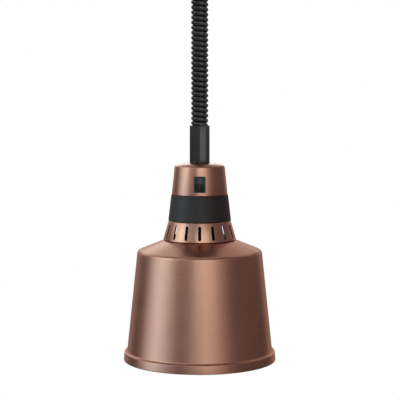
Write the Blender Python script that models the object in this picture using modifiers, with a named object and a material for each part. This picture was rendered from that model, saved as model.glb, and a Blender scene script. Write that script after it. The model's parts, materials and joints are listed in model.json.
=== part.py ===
"""Rise-and-fall pendant heat lamp for keeping food warm.

A ceiling fitting holds a spring reel.  A steel wire hangs from the reel and
carries the lamp head; a coiled cord is wound round that wire and feeds the
lamp.  The lamp head is a copper-finished cap with a rocker switch, a rubber
band, a slotted vent ring and a conical shade, with a screw-in reflector bulb.

Lengths in the tables below are millimetres.  Heights h are measured up from
the shade's lower edge; level() turns them into the model's own frame, whose
origin is the ceiling face, in metres, +Z up.  The switch side faces -Y.
"""
import math

import bmesh
import bpy
import numpy as np
from mathutils import Matrix, Vector

# ----------------------------------------------------------------- dimensions
HANG = 545.0            # shade's lower edge to the ceiling face
MM = 0.001

RIM_R = 95.0            # shade's rim, outside
SHADE_T = 1.5           # spun sheet
SIDE_R = 77.71          # shade side at SIDE_H
SIDE_H = 133.53
SIDE_SLOPE = 0.10594    # growth of radius per unit of drop
SHOULDER_R = 45.6       # shoulder cone passes here
SHOULDER_H = 149.8
SHOULDER_SLOPE = 0.408  # drop per unit of radius
CORNER_FILLET = 5.5
NECK_HOLE_R = 39.3

VENT_SLOTS = 16
SLOT_W = 3.7
SLOT_LOW, SLOT_HIGH = 153.4, 170.6
VENT_TOP_R, VENT_TOP_H = 38.7, 173.9
VENT_LOW_R, VENT_LOW_H = 45.5, 150.3

BAND_TOP_R, BAND_TOP_H = 35.3, 206.0
BAND_LOW_R, BAND_LOW_H = 38.9, 175.2
BAND_T = 1.6

CAP_LOW_R, CAP_LOW_H = 34.6, 207.0
CAP_TOP_R, CAP_TOP_H = 31.05, 242.3
CAP_MID_R, CAP_MID_H = 23.5, 244.9      # where the crown starts to fall away
CAP_CROWN_R, CAP_CROWN_H = 13.0, 245.4
CAP_T = 1.8
CAP_VENTS = 12
CAP_VENT_R = 1.7
CAP_VENT_PITCH_R = 20.0
BOSS_PITCH_R = 26.0
BOSS_ANGLES = (90.0, 210.0, 330.0)
BOSS_R = 3.3

SLEEVE_R = 12.4
SLEEVE_BORE_R = 11.15
SLEEVE_LOW, SLEEVE_HIGH = 245.7, 291.8
SPIGOT_R = 10.2
SPIGOT_BORE_R = 9.0
UPPER_SLEEVE_LOW, UPPER_SLEEVE_HIGH = 453.0, 481.7

CORD_R = 3.05           # cable
COIL_R = 10.7           # outside of the coil
COIL_CORE_R = 4.55      # inside of the coil
COIL_LOW, COIL_HIGH = 257.0, 473.4
CORD_X = -5.6           # where the cord passes each sleeve's floor
WIRE_R = 0.75           # suspension wire

SWITCH_H = 221.1        # switch centre
BEZEL_W, BEZEL_L = 14.4, 19.9
BEZEL_PROUD = 1.3
SWITCH_W, SWITCH_L, SWITCH_DEPTH = 12.6, 18.4, 15.0
POCKET_W, POCKET_L, POCKET_DEPTH = 10.9, 16.9, 8.2
ROCKER_W = 10.4
ROCKER_HALF = 7.7
ROCKER_PIVOT = 1.5      # pivot below the bezel's face
ROCKER_TILT = 12.0      # each way from the middle, degrees

HOLDER_R = 20.6
SHELL_R = 13.65

REEL_X, REEL_H = 18.75, 515.0
DRUM_R = 18.0
FLANGE_R = 23.0
SHAFT_R = 3.0
PLATE_R = 59.2
PLATE_T = 1.5
CUP_LOW_H = 482.0
CUP_TOP_R, CUP_LOW_R = 62.0, 56.5

GAP = 0.3

# -------------------------------------------------------------- clean start
for old in list(bpy.data.objects):
    bpy.data.objects.remove(old, do_unlink=True)

parts = bpy.data.collections.new("heat_lamp_warmer")
cutters = bpy.data.collections.new("cutters")
bpy.context.scene.collection.children.link(parts)
bpy.context.scene.collection.children.link(cutters)


def level(h):
    """Height above the shade's lower edge, as a z in metres."""
    return (h - HANG) * MM


def material(name, colour, rough, metal):
    mat = bpy.data.materials.new(name)
    mat.use_nodes = True
    shader = mat.node_tree.nodes["Principled BSDF"]
    shader.inputs["Base Color"].default_value = (*colour, 1.0)
    shader.inputs["Roughness"].default_value = rough
    shader.inputs["Metallic"].default_value = metal
    return mat


COPPER = ("copper finish", (0.44, 0.24, 0.17), 0.36, 1.0)
PALE_COPPER = ("light copper finish", (0.52, 0.31, 0.22), 0.30, 1.0)
BLACK = ("black satin", (0.03, 0.03, 0.032), 0.42, 0.0)
RUBBER = ("black rubber", (0.028, 0.028, 0.03), 0.62, 0.0)
STEEL = ("zinc plated steel", (0.55, 0.56, 0.57), 0.35, 1.0)
BLACK_STEEL = ("black coated steel", (0.02, 0.02, 0.021), 0.50, 0.0)
BRASS = ("brass", (0.63, 0.47, 0.22), 0.30, 1.0)
CERAMIC = ("white porcelain", (0.82, 0.80, 0.76), 0.25, 0.0)
GLASS = ("lamp glass", (0.85, 0.84, 0.82), 0.20, 0.0)
NYLON = ("white nylon", (0.78, 0.77, 0.72), 0.45, 0.0)
BROWN = ("brown sleeve", (0.20, 0.09, 0.04), 0.45, 0.0)
BLUE = ("blue sleeve", (0.03, 0.12, 0.42), 0.45, 0.0)
GREEN = ("green and yellow sleeve", (0.20, 0.42, 0.06), 0.45, 0.0)
TUNGSTEN = ("tungsten", (0.33, 0.33, 0.34), 0.40, 1.0)


def add_object(name, mesh, look=None, to=None):
    obj = bpy.data.objects.new(name, mesh)
    (to or parts).objects.link(obj)
    if look:
        mesh.materials.append(material(name + " - " + look[0], *look[1:]))
    return obj


# ------------------------------------------------------------ shape builders
def rounded(corners, segments=4):
    """Open polyline of (r, h) with each corner (r, h, radius) filleted."""
    out = []
    for i, c in enumerate(corners):
        p = Vector((c[0], c[1]))
        radius = c[2] if len(c) > 2 else 0.0
        if radius <= 0.0 or i in (0, len(corners) - 1):
            out.append((p.x, p.y))
            continue
        a = Vector(corners[i - 1][:2]) - p
        b = Vector(corners[i + 1][:2]) - p
        a.normalize()
        b.normalize()
        half = a.angle(b) / 2.0
        reach = radius / math.tan(half)
        centre = p + (a + b).normalized() * (radius / math.sin(half))
        start = p + a * reach - centre
        end = p + b * reach - centre
        ang0 = math.atan2(start.y, start.x)
        turn = math.atan2(end.y, end.x) - ang0
        turn = (turn + math.pi) % (2 * math.pi) - math.pi
        for k in range(segments + 1):
            t = ang0 + turn * k / segments
            out.append((centre.x + radius * math.cos(t),
                        centre.y + radius * math.sin(t)))
    return out


def turned(name, profile, look=None, steps=32, closed=True, to=None, axis="Z",
           centre=(0.0, 0.0, 0.0)):
    """Lathe a profile of (r, h) in mm that runs down its outer side.

    A closed profile makes a ring; an open one starts and ends on the axis.
    With axis "Y" the second number is the place along +Y from the centre,
    and the centre is (x, y, h).
    """
    mesh = bpy.data.meshes.new(name)
    if axis == "Z":
        verts = [(r * MM, 0.0, level(h)) for r, h in profile]
    else:
        verts = [(r * MM, 0.0, h * MM) for r, h in profile]
    edges = [(i, i + 1) for i in range(len(verts) - 1)]
    if closed:
        edges.append((len(verts) - 1, 0))
    mesh.from_pydata(verts, edges, [])
    obj = add_object(name, mesh, look, to)
    screw = obj.modifiers.new("turn", "SCREW")
    screw.axis = "Z"
    screw.angle = 2 * math.pi
    screw.steps = steps
    screw.render_steps = steps
    screw.use_merge_vertices = True
    screw.merge_threshold = 0.00002
    screw.use_smooth_shade = True
    if axis == "Y":
        obj.rotation_euler = (-math.pi / 2, 0.0, 0.0)
        obj.location = (centre[0] * MM, centre[1] * MM, level(centre[2]))
    elif centre[0] or centre[1]:
        obj.location = (centre[0] * MM, centre[1] * MM, 0.0)
    return obj


def block(name, size, look=None, to=None, bevel=0.0, segments=2):
    """Box of the given size in mm, centred on its own origin."""
    bm = bmesh.new()
    bmesh.ops.create_cube(bm, size=1.0)
    bmesh.ops.scale(bm, vec=[s * MM for s in size], verts=bm.verts)
    mesh = bpy.data.meshes.new(name)
    bm.to_mesh(mesh)
    bm.free()
    obj = add_object(name, mesh, look, to)
    if bevel:
        mod = obj.modifiers.new("edges", "BEVEL")
        mod.width = bevel * MM
        mod.segments = segments
        mod.limit_method = "ANGLE"
        mod.angle_limit = math.radians(40)
    return obj


def rod(name, radius, start, end, look=None, to=None, sides=16, radius_end=None):
    """Cylinder or cone between two points given as (x, y, h) in mm."""
    a = Vector((start[0] * MM, start[1] * MM, level(start[2])))
    b = Vector((end[0] * MM, end[1] * MM, level(end[2])))
    bm = bmesh.new()
    bmesh.ops.create_cone(bm, cap_ends=True, segments=sides,
                          radius1=radius * MM,
                          radius2=(radius if radius_end is None else radius_end) * MM,
                          depth=(b - a).length)
    mesh = bpy.data.meshes.new(name)
    bm.to_mesh(mesh)
    bm.free()
    obj = add_object(name, mesh, look, to)
    obj.rotation_mode = "QUATERNION"
    obj.rotation_quaternion = (b - a).to_track_quat("Z", "Y")
    obj.location = (a + b) / 2
    return obj


def lead(name, points, radius, look, resolution=2, steps=2):
    """Round lead along points (x, y, h) in mm, smoothed into one easy curve."""
    pts = [Vector((x * MM, y * MM, level(h))) for x, y, h in points]
    smooth = []
    ends = [pts[0] * 2 - pts[1]] + pts + [pts[-1] * 2 - pts[-2]]
    for i in range(1, len(ends) - 2):
        p0, p1, p2, p3 = ends[i - 1:i + 3]
        for k in range(steps):
            t = k / steps
            smooth.append(0.5 * ((2 * p1) + (p2 - p0) * t
                                 + (2 * p0 - 5 * p1 + 4 * p2 - p3) * t * t
                                 + (3 * p1 - p0 - 3 * p2 + p3) * t ** 3))
    smooth.append(pts[-1])
    curve = bpy.data.curves.new(name, "CURVE")
    curve.dimensions = "3D"
    curve.bevel_depth = radius * MM
    curve.bevel_resolution = resolution
    curve.use_fill_caps = True
    spline = curve.splines.new("POLY")
    spline.points.add(len(smooth) - 1)
    for point, co in zip(spline.points, smooth):
        point.co = (*co, 1.0)
    obj = bpy.data.objects.new(name, curve)
    parts.objects.link(obj)
    curve.materials.append(material(name + " - " + look[0], *look[1:]))
    return obj


def screw_fastener(name, seat, direction, head_r, head_t, shank_r, shank_l,
                   look=STEEL):
    """Pan-head screw: seat is under the head, direction runs down the shank."""
    mesh = bpy.data.meshes.new(name)
    top = head_t
    prof = [(0.0, top), (head_r * 0.66, top), (head_r, top * 0.55),
            (head_r, 0.0), (shank_r, 0.0), (shank_r, -shank_l), (0.0, -shank_l)]
    mesh.from_pydata([(r * MM, 0, z * MM) for r, z in prof],
                     [(i, i + 1) for i in range(len(prof) - 1)], [])
    obj = add_object(name, mesh, look)
    mod = obj.modifiers.new("turn", "SCREW")
    mod.axis = "Z"
    mod.angle = 2 * math.pi
    mod.steps = 12
    mod.render_steps = 12
    mod.use_merge_vertices = True
    mod.merge_threshold = 0.00002
    mod.use_smooth_shade = True
    # one straight driver slot across the head
    slot = block(name + "_slot", (head_r * 2.6, head_r * 0.30, head_t * 0.9), to=cutters)
    slot.location = (0, 0, top * MM)
    turn = (-Vector(direction)).to_track_quat("Z", "Y")
    place = Vector((seat[0] * MM, seat[1] * MM, level(seat[2])))
    obj.rotation_mode = slot.rotation_mode = "QUATERNION"
    obj.rotation_quaternion = slot.rotation_quaternion = turn
    obj.location = place
    slot.location = place + turn @ Vector((0, 0, top * MM))
    cut(obj, slot)
    return obj


def cut(obj, cutter, operation="DIFFERENCE"):
    mod = obj.modifiers.new(cutter.name, "BOOLEAN")
    mod.operation = operation
    mod.solver = "EXACT"
    mod.object = cutter
    cutter.hide_render = True
    cutter.display_type = "WIRE"
    return obj


def merged(name, pieces):
    """Join several separate cutter solids into one cutter object."""
    bm = bmesh.new()
    bpy.context.view_layer.update()
    depsgraph = bpy.context.evaluated_depsgraph_get()
    for piece in pieces:
        mesh = bpy.data.meshes.new_from_object(piece.evaluated_get(depsgraph))
        mesh.transform(piece.matrix_world)
        bm.from_mesh(mesh)
        bpy.data.meshes.remove(mesh)
    mesh = bpy.data.meshes.new(name)
    bm.to_mesh(mesh)
    bm.free()
    for piece in pieces:
        bpy.data.objects.remove(piece, do_unlink=True)
    return add_object(name, mesh, None, cutters)


# ================================================================= lamp head
def side_radius(h):
    return SIDE_R + (SIDE_H - h) * SIDE_SLOPE


def shoulder_height(r):
    return SHOULDER_H - (r - SHOULDER_R) * SHOULDER_SLOPE


# The corner where the shoulder cone meets the side, outside and inside.
def corner(r_in, drop):
    k = SHOULDER_H + SHOULDER_R * SHOULDER_SLOPE - drop
    base = SIDE_R - r_in + SIDE_H * SIDE_SLOPE
    h = (k - SHOULDER_SLOPE * base) / (1 - SHOULDER_SLOPE * SIDE_SLOPE)
    return SIDE_R - r_in + (SIDE_H - h) * SIDE_SLOPE, h


shoulder_drop = SHADE_T / math.cos(math.atan(SHOULDER_SLOPE))
outer_corner = corner(0.0, 0.0)
inner_corner = corner(SHADE_T, shoulder_drop)
shade_profile = rounded([
    (NECK_HOLE_R, shoulder_height(NECK_HOLE_R)),
    (outer_corner[0], outer_corner[1], CORNER_FILLET),
    (side_radius(11.0), 11.0, 2.5),
    (93.95, 11.0, 1.1),
    (RIM_R, 0.0, 0.8),
    (92.9, 0.0),
    (91.9, 8.7),
    (side_radius(11.0) - SHADE_T, 9.2),
    (inner_corner[0], inner_corner[1], CORNER_FILLET - SHADE_T),
    (NECK_HOLE_R, shoulder_height(NECK_HOLE_R) - shoulder_drop),
], segments=3)
turned("shade", shade_profile, COPPER, steps=40)

# Threaded ring that clamps the shade up against the vent ring.
seat_h = shoulder_height(NECK_HOLE_R) - shoulder_drop - 0.35
shade_ring = turned("shade_ring", [
    (39.2, seat_h), (44.0, seat_h - 4.8 * SHOULDER_SLOPE), (44.0, 145.3), (39.2, 145.3)],
    STEEL, steps=32)

# Vent ring: slotted cone outside, a skirt through the shade's neck below, a
# spigot under the rubber band above, and a flange that the cap sits on.
spigot_low = BAND_LOW_R - BAND_T - GAP + 0.05
vent_profile = [
    (32.1, 210.5), (32.1, 206.4), (33.25, 206.4),
    (37.0, 174.6), (38.35, 174.35), (VENT_TOP_R, VENT_TOP_H),
    (VENT_LOW_R - 0.15, VENT_LOW_H + 0.55), (VENT_LOW_R, VENT_LOW_H),
    (39.0, shoulder_height(39.0) + 0.4), (38.85, 145.0), (36.8, 145.0),
    (36.8, 153.9), (42.3, 153.9), (36.5, 173.2), (34.9, 175.4),
    (31.6, 203.6), (20.0, 203.6), (20.0, 206.4), (30.2, 206.4), (30.2, 210.5)]
vent_ring = turned("vent_ring", vent_profile, PALE_COPPER, steps=32)
slots = []
for i in range(VENT_SLOTS):
    angle = -math.pi / 2 + 2 * math.pi * i / VENT_SLOTS
    bm = bmesh.new()
    half = SLOT_W / 2
    ring = []
    for centre_h, first in ((SLOT_HIGH - half, 0), (SLOT_LOW + half, 180)):
        for k in range(4):
            t = math.radians(first + 60 * k)
            ring.append((half * math.cos(t), centre_h + half * math.sin(t)))
    face = bm.faces.new([bm.verts.new((34.0 * MM, y * MM, level(h))) for y, h in ring])
    grown = bmesh.ops.extrude_face_region(bm, geom=[face])
    bmesh.ops.translate(bm, vec=(15.0 * MM, 0, 0),
                        verts=[v for v in grown["geom"] if isinstance(v, bmesh.types.BMVert)])
    bmesh.ops.recalc_face_normals(bm, faces=bm.faces)
    bm.transform(Matrix.Rotation(angle, 4, "Z"))
    mesh = bpy.data.meshes.new("slot")
    bm.to_mesh(mesh)
    bm.free()
    slots.append(add_object("slot", mesh, None, cutters))
cut(vent_ring, merged("vent_slots", slots))

# Rubber band round the joint of the cap and the vent ring.
turned("grip_band", [
    (34.75, 206.65), (BAND_TOP_R, BAND_TOP_H), (BAND_LOW_R, BAND_LOW_H),
    (38.55, 174.75), (37.3, 174.75), (33.55, 206.65)], RUBBER, steps=36)

# Cap: spun cup with a crowned top, vent holes round the cord sleeve, a
# cut-out for the switch and three screw bosses inside.
cap_profile = rounded([
    (SPIGOT_R + 0.25, CAP_CROWN_H),
    (CAP_CROWN_R, CAP_CROWN_H),
    (CAP_MID_R, CAP_MID_H, 6.0),
    (CAP_TOP_R, CAP_TOP_H, 4.2),
    (CAP_LOW_R, CAP_LOW_H, 0.0),
    (CAP_LOW_R - CAP_T, CAP_LOW_H),
    (CAP_TOP_R - CAP_T, CAP_TOP_H - CAP_T + 0.1, 2.4),
    (CAP_MID_R, CAP_MID_H - CAP_T + 0.1),
    (CAP_CROWN_R + 0.5, CAP_CROWN_H - CAP_T + 0.3),
    (SPIGOT_R + 0.25, CAP_CROWN_H - CAP_T + 0.3),
], segments=3)
cap = turned("cap_housing", cap_profile, COPPER, steps=32)


def polar(radius, degrees):
    t = math.radians(degrees)
    return radius * math.cos(t), radius * math.sin(t)


bosses = []
for angle in BOSS_ANGLES:
    x, y = polar(BOSS_PITCH_R, angle)
    bosses.append(rod("boss", BOSS_R, (x, y, 206.75), (x, y, 242.2), to=cutters, sides=10))
cut(cap, merged("cap_bosses", bosses), "UNION")
holes = []
for i in range(CAP_VENTS):
    x, y = polar(CAP_VENT_PITCH_R, -90 + 360 * (i + 0.5) / CAP_VENTS)
    holes.append(rod("vent", CAP_VENT_R, (x, y, 239.0), (x, y, 250.0), to=cutters, sides=8))
for angle in BOSS_ANGLES:
    x, y = polar(BOSS_PITCH_R, angle)
    holes.append(rod("tap", 1.65, (x, y, 204.0), (x, y, 217.0), to=cutters, sides=8))
    flange_hole = rod("flange_hole", 1.8, (x, y, 202.0), (x, y, 208.0), to=cutters, sides=8)
    cut(vent_ring, flange_hole)
    flange_hole.name = "flange_hole_%d" % int(angle)

# Switch frame: centre on the cap's outer face, n outwards, s up the wall.
wall_slope = (CAP_LOW_R - CAP_TOP_R) / (CAP_TOP_H - CAP_LOW_H)
lean = math.atan(wall_slope)
face_r = CAP_LOW_R - (SWITCH_H - CAP_LOW_H) * wall_slope
switch_at = Vector((0.0, -face_r * MM, level(SWITCH_H)))
n_dir = Vector((0.0, -math.cos(lean), math.sin(lean)))
s_dir = Vector((0.0, math.sin(lean), math.cos(lean)))
u_dir = s_dir.cross(n_dir)
switch_frame = Matrix((
    (u_dir.x, s_dir.x, n_dir.x, switch_at.x),
    (u_dir.y, s_dir.y, n_dir.y, switch_at.y),
    (u_dir.z, s_dir.z, n_dir.z, switch_at.z),
    (0, 0, 0, 1)))


def on_switch(obj, u=0.0, s=0.0, n=0.0, tilt=0.0):
    """Place an object whose x, y, z are the switch's u, s, n."""
    obj.matrix_world = (switch_frame @ Matrix.Translation((u * MM, s * MM, n * MM))
                        @ Matrix.Rotation(math.radians(tilt), 4, "X"))
    return obj


opening = on_switch(block("switch_opening", (SWITCH_W + 0.6, SWITCH_L + 0.6, 12.0), to=cutters))
cut(cap, merged("cap_holes", holes))
cut(cap, opening)

body = on_switch(block("switch_body", (BEZEL_W, BEZEL_L, 3.4), BLACK, bevel=0.45), n=BEZEL_PROUD - 1.7)
wall = turned("cap_outside", [(0, 260.0), (CAP_LOW_R + 0.3 - (260.0 - CAP_LOW_H) * wall_slope, 260.0),
                              (CAP_LOW_R + 0.3 + 12.0 * wall_slope, CAP_LOW_H - 12.0),
                              (0, CAP_LOW_H - 12.0)], None, steps=64, closed=False, to=cutters)
cut(body, wall)
core = on_switch(block("switch_core", (SWITCH_W, SWITCH_L, SWITCH_DEPTH + 0.9), to=cutters),
                 n=0.9 - (SWITCH_DEPTH + 0.9) / 2)
cut(body, core, "UNION")
pocket = on_switch(block("switch_pocket", (POCKET_W, POCKET_L, POCKET_DEPTH * 2), to=cutters), n=BEZEL_PROUD)
cut(body, pocket)
pivot_n = BEZEL_PROUD - ROCKER_PIVOT
pin_hole = on_switch(block("pin_hole_frame", (1, 1, 1), to=cutters), n=pivot_n)
pivot_at = pin_hole.matrix_world.translation.copy()
bpy.data.objects.remove(pin_hole, do_unlink=True)


def across(name, radius, half, look=None, to=None, sides=10):
    x, y, h = pivot_at.x / MM, pivot_at.y / MM, pivot_at.z / MM + HANG
    return rod(name, radius, (-half, y, h), (half, y, h), look, to, sides)


cut(body, across("pin_holes", 1.15, 8.0, to=cutters))
for i, s in enumerate((3.5, -3.5)):
    blade = block("switch_terminal_%d" % (i + 1), (4.8, 0.8, 9.0), BRASS)
    on_switch(blade, s=s, n=-SWITCH_DEPTH - 3.0)
    slot = block("blade_slot_%d" % (i + 1), (5.3, 1.3, 3.6), to=cutters)
    on_switch(slot, s=s, n=-SWITCH_DEPTH + 0.1)
    cut(body, slot)

# Rocker: two flat halves that meet in a shallow V, ends struck round the
# pivot so that they sweep the pocket with an even gap.
reach_n = ROCKER_HALF * math.tan(math.radians(ROCKER_TILT)) + 0.1 + ROCKER_PIVOT
end_r = math.hypot(ROCKER_HALF, reach_n)
outline = [(0.0, ROCKER_PIVOT + 0.1)]
start_angle = math.atan2(reach_n, ROCKER_HALF)
stop_angle = -math.asin(4.2 / end_r)
for k in range(6):
    t = start_angle + (stop_angle - start_angle) * k / 5
    outline.append((end_r * math.cos(t), end_r * math.sin(t)))
for k in range(6):
    t = stop_angle + (start_angle - stop_angle) * k / 5
    outline.append((-end_r * math.cos(t), end_r * math.sin(t)))
bm = bmesh.new()
face = bm.faces.new([bm.verts.new((-ROCKER_W / 2 * MM, s * MM, n * MM)) for s, n in outline])
grown = bmesh.ops.extrude_face_region(bm, geom=[face])
bmesh.ops.translate(bm, vec=(ROCKER_W * MM, 0, 0),
                    verts=[v for v in grown["geom"] if isinstance(v, bmesh.types.BMVert)])
bmesh.ops.recalc_face_normals(bm, faces=bm.faces)
mesh = bpy.data.meshes.new("switch_rocker")
bm.to_mesh(mesh)
bm.free()
rocker = add_object("switch_rocker", mesh, BLACK)
on_switch(rocker, n=pivot_n, tilt=-ROCKER_TILT)
cut(rocker, across("rocker_pins", 0.95, 6.0, to=cutters), "UNION")

# Cord sleeve on the cap: bore for the coil's end above, threaded spigot below.
sleeve = turned("sleeve_tube", [
    (0.0, 253.5), (SLEEVE_BORE_R, 253.5), (SLEEVE_BORE_R, SLEEVE_HIGH - 0.4),
    (SLEEVE_BORE_R + 0.35, SLEEVE_HIGH), (SLEEVE_R - 0.5, SLEEVE_HIGH),
    (SLEEVE_R, SLEEVE_HIGH - 0.5), (SLEEVE_R, SLEEVE_LOW + 0.3), (SLEEVE_R - 0.3, SLEEVE_LOW),
    (SPIGOT_R, SLEEVE_LOW), (SPIGOT_R, 233.5), (SPIGOT_BORE_R, 233.5),
    (SPIGOT_BORE_R, 250.0), (0.0, 250.0)], BLACK, steps=24, closed=False)
cut(sleeve, merged("sleeve_holes", [
    rod("h", 3.35, (CORD_X, 0, 245), (CORD_X, 0, 258), to=cutters, sides=16),
    rod("h", 1.0, (0, 0, 245), (0, 0, 258), to=cutters, sides=10)]))
nut = turned("sleeve_nut", [(14.2, 243.5), (14.2, 239.2), (SPIGOT_R + 0.15, 239.2),
                            (SPIGOT_R + 0.15, 243.5)], STEEL, steps=6)
bore = rod("sleeve_nut_bore", SPIGOT_R + 0.2, (0, 0, 235), (0, 0, 248), to=cutters, sides=32)
cut(nut, bore)
gland = turned("cord_gland", [
    (0.0, 233.1), (SPIGOT_R + 0.2, 233.1), (SPIGOT_R + 0.2, 238.6), (12.0, 238.6),
    (12.4, 238.2), (12.4, 225.2), (11.6, 224.5), (0.0, 224.5)], NYLON, steps=24, closed=False)
cut(gland, rod("gland_hole", 3.3, (CORD_X, 0, 220), (CORD_X, 0, 236), to=cutters, sides=16))
turned("wire_ferrule", [(1.7, 249.6), (1.7, 243.6), (0.95, 243.6), (0.95, 249.6)],
       STEEL, steps=16)
lead("cord_tail_lower", [(CORD_X, 0, 256.6), (CORD_X, 0, 245), (CORD_X, 0, 233), (CORD_X, 0, 221.2)],
     CORD_R, RUBBER, 3, 1)

# Lampholder: porcelain body under a black steel plate that the cap screws
# clamp.  The plate's drawn cup comes down round the porcelain and keeps the
# bulb's glare out of the vent slots.
CUP_R, CUP_T, CUP_LIP_H = 22.9, 1.0, 148.0
plate_profile = [(31.0, 203.2), (31.0, 201.7), (CUP_R, 201.7), (CUP_R, CUP_LIP_H),
                 (CUP_R - CUP_T, CUP_LIP_H), (CUP_R - CUP_T, 201.7), (8.0, 201.7), (8.0, 203.2)]
bracket = turned("lampholder_bracket", plate_profile, BLACK_STEEL, steps=28)
plate_holes = []
for angle in BOSS_ANGLES:
    x, y = polar(BOSS_PITCH_R, angle)
    plate_holes.append(rod("h", 1.8, (x, y, 199), (x, y, 206), to=cutters, sides=10))
for x in (-13.0, 13.0):
    plate_holes.append(rod("h", 1.75, (x, 0, 199), (x, 0, 206), to=cutters, sides=10))
EARTH_AT = (8.5, 13.0)
plate_holes.append(rod("h", 1.75, (*EARTH_AT, 199), (*EARTH_AT, 206), to=cutters, sides=10))
cut(bracket, merged("bracket_holes", plate_holes))
for i, angle in enumerate(BOSS_ANGLES):
    x, y = polar(BOSS_PITCH_R, angle)
    screw_fastener("cap_screw_%d" % (i + 1), (x, y, 201.4), (0, 0, 1), 2.8, 2.1, 1.5, 14.5)

holder = turned("lampholder_body", rounded([
    (0.0, 201.4), (HOLDER_R, 201.4, 1.2), (HOLDER_R, 172.0), (19.2, 161.0, 0.9),
    (15.0, 161.0), (15.0, 189.0), (0.0, 189.0)], segments=2), CERAMIC, steps=24, closed=False)
wells = [rod("h", 1.7, (x, 0, 192), (x, 0, 205), to=cutters, sides=10) for x in (-13.0, 13.0)]
wells += [rod("h", 1.5, (x, y, 195), (x, y, 205), to=cutters, sides=10)
          for x, y in ((0.8, -5.0), (-4.6, 4.6))]
wells.append(rod("h", 1.8, (*EARTH_AT, 196), (*EARTH_AT, 205), to=cutters, sides=10))
cut(holder, merged("holder_wells", wells))
for i, x in enumerate((-13.0, 13.0)):
    screw_fastener("lampholder_screw_%d" % (i + 1), (x, 0, 203.5), (0, 0, -1), 2.9, 2.0, 1.45, 10.0)
screw_fastener("earth_screw", (*EARTH_AT, 203.5), (0, 0, -1), 2.9, 2.0, 1.45, 6.5, BRASS)
turned("lampholder_shell", [(14.5, 186.5), (14.5, 163.0), (SHELL_R, 163.0), (SHELL_R, 186.5)],
       BRASS, steps=24)
turned("centre_contact", [(0.0, 188.7), (5.0, 188.7), (5.0, 188.0), (0.0, 187.8)],
       BRASS, steps=16, closed=False)

# Leads inside the cap.
term_y = -face_r + (SWITCH_DEPTH + 7.5) * math.cos(lean)
term_drop = (SWITCH_DEPTH + 7.5) * math.sin(lean)
t1 = (0.0, term_y + 3.5 * math.sin(lean) + 0.35, SWITCH_H + 3.5 - term_drop)
t2 = (0.0, term_y - 3.5 * math.sin(lean) + 0.35, SWITCH_H - 3.5 - term_drop)
lead("live_wire", [(-5.4, -1.5, 220.8), (-5.2, -2.2, 218.6), (-3.4, -4.2, 217.6),
                   (-1.4, -6.2, 219.4), (-0.2, -8.0, t1[2] - 0.4), t1], 0.9, BROWN)
lead("switched_wire", [t2, (0.0, t2[1] + 1.8, t2[2] - 0.2), (0.5, -6.6, 212.6), (0.8, -5.3, 209.0),
                       (0.8, -5.0, 205.0), (0.8, -5.0, 197.0)], 0.9, BROWN)
lead("neutral_wire", [(-7.1, 0.6, 220.8), (-7.2, 1.8, 216.5), (-6.2, 3.6, 211.5), (-4.9, 4.5, 206.5),
                      (-4.6, 4.6, 202.0), (-4.6, 4.6, 197.0)], 0.9, BLUE)
lead("earth_wire", [(-4.3, 1.3, 220.8), (-2.4, 3.0, 217.5), (1.8, 6.6, 213.5), (5.6, 10.0, 210.2),
                    (8.0, 12.4, 207.6), (EARTH_AT[0], EARTH_AT[1], 206.0)], 0.9, GREEN)

# Bulb: blown reflector glass, open at its neck inside the screw cap.
glass_profile = [(10.9, 176.0), (10.9, 163.6), (12.6, 161.9), (17.4, 149.0),
                 (19.6, 138.0), (25.5, 125.5), (50.5, 93.5), (58.8, 78.5),
                 (62.4, 64.0), (61.6, 50.0), (57.0, 37.5), (47.5, 26.0), (33.5, 16.8),
                 (0.0, 9.8)]
glass = turned("bulb_glass", glass_profile, GLASS, steps=24, closed=False)
shell = glass.modifiers.new("wall", "SOLIDIFY")
shell.thickness = 1.1 * MM
shell.offset = -1.0
shell.use_even_offset = True
thread = [(8.3, 185.0), (12.2, 183.2)]
for k in range(4):
    top_h = 181.6 - 3.62 * k
    thread += [(12.35, top_h), (13.2, top_h - 1.81)]
thread += [(12.5, 166.6), (13.3, 165.4), (13.3, 162.7), (11.9, 162.7), (11.9, 182.2), (8.3, 184.0)]
turned("bulb_cap", thread, STEEL, steps=20)
turned("bulb_insulator", [(0.0, 185.6), (6.4, 185.6), (7.9, 184.7), (7.9, 182.6), (0.0, 182.6)],
       BLACK, steps=16, closed=False)
turned("bulb_contact", [(0.0, 187.4), (3.2, 187.4), (4.4, 186.6), (4.4, 185.9), (0.0, 185.9)],
       STEEL, steps=16, closed=False)
support = [(-2.5, 0, 172.0), (-2.5, 0, 130.0), (-6.0, 0, 108.0), (-17.0, 0, 92.0)]
rim = []
for k in range(9):
    t = math.radians(180 - 45 * k * 180 / 360.0 * 1.0)
    rr = 17.0 if k % 2 == 0 else 9.0
    rim.append((rr * math.cos(t), -rr * math.sin(t) * 0.9, 92.0 - (5.0 if k % 2 else 0.0)))
lead("filament", support + rim[1:-1] + [(x * -1, y, h) for x, y, h in reversed(support)],
     0.55, TUNGSTEN, 2, 1)

# ======================================================== between the bodies
turned("coiled_cord", [(COIL_R, COIL_HIGH), (COIL_R, COIL_LOW), (COIL_CORE_R, COIL_LOW),
                       (COIL_CORE_R, COIL_HIGH)], RUBBER, steps=24)
rod("suspension_wire", WIRE_R, (0, 0, 244.0), (0, 0, 506.4), STEEL, sides=10)

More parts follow.
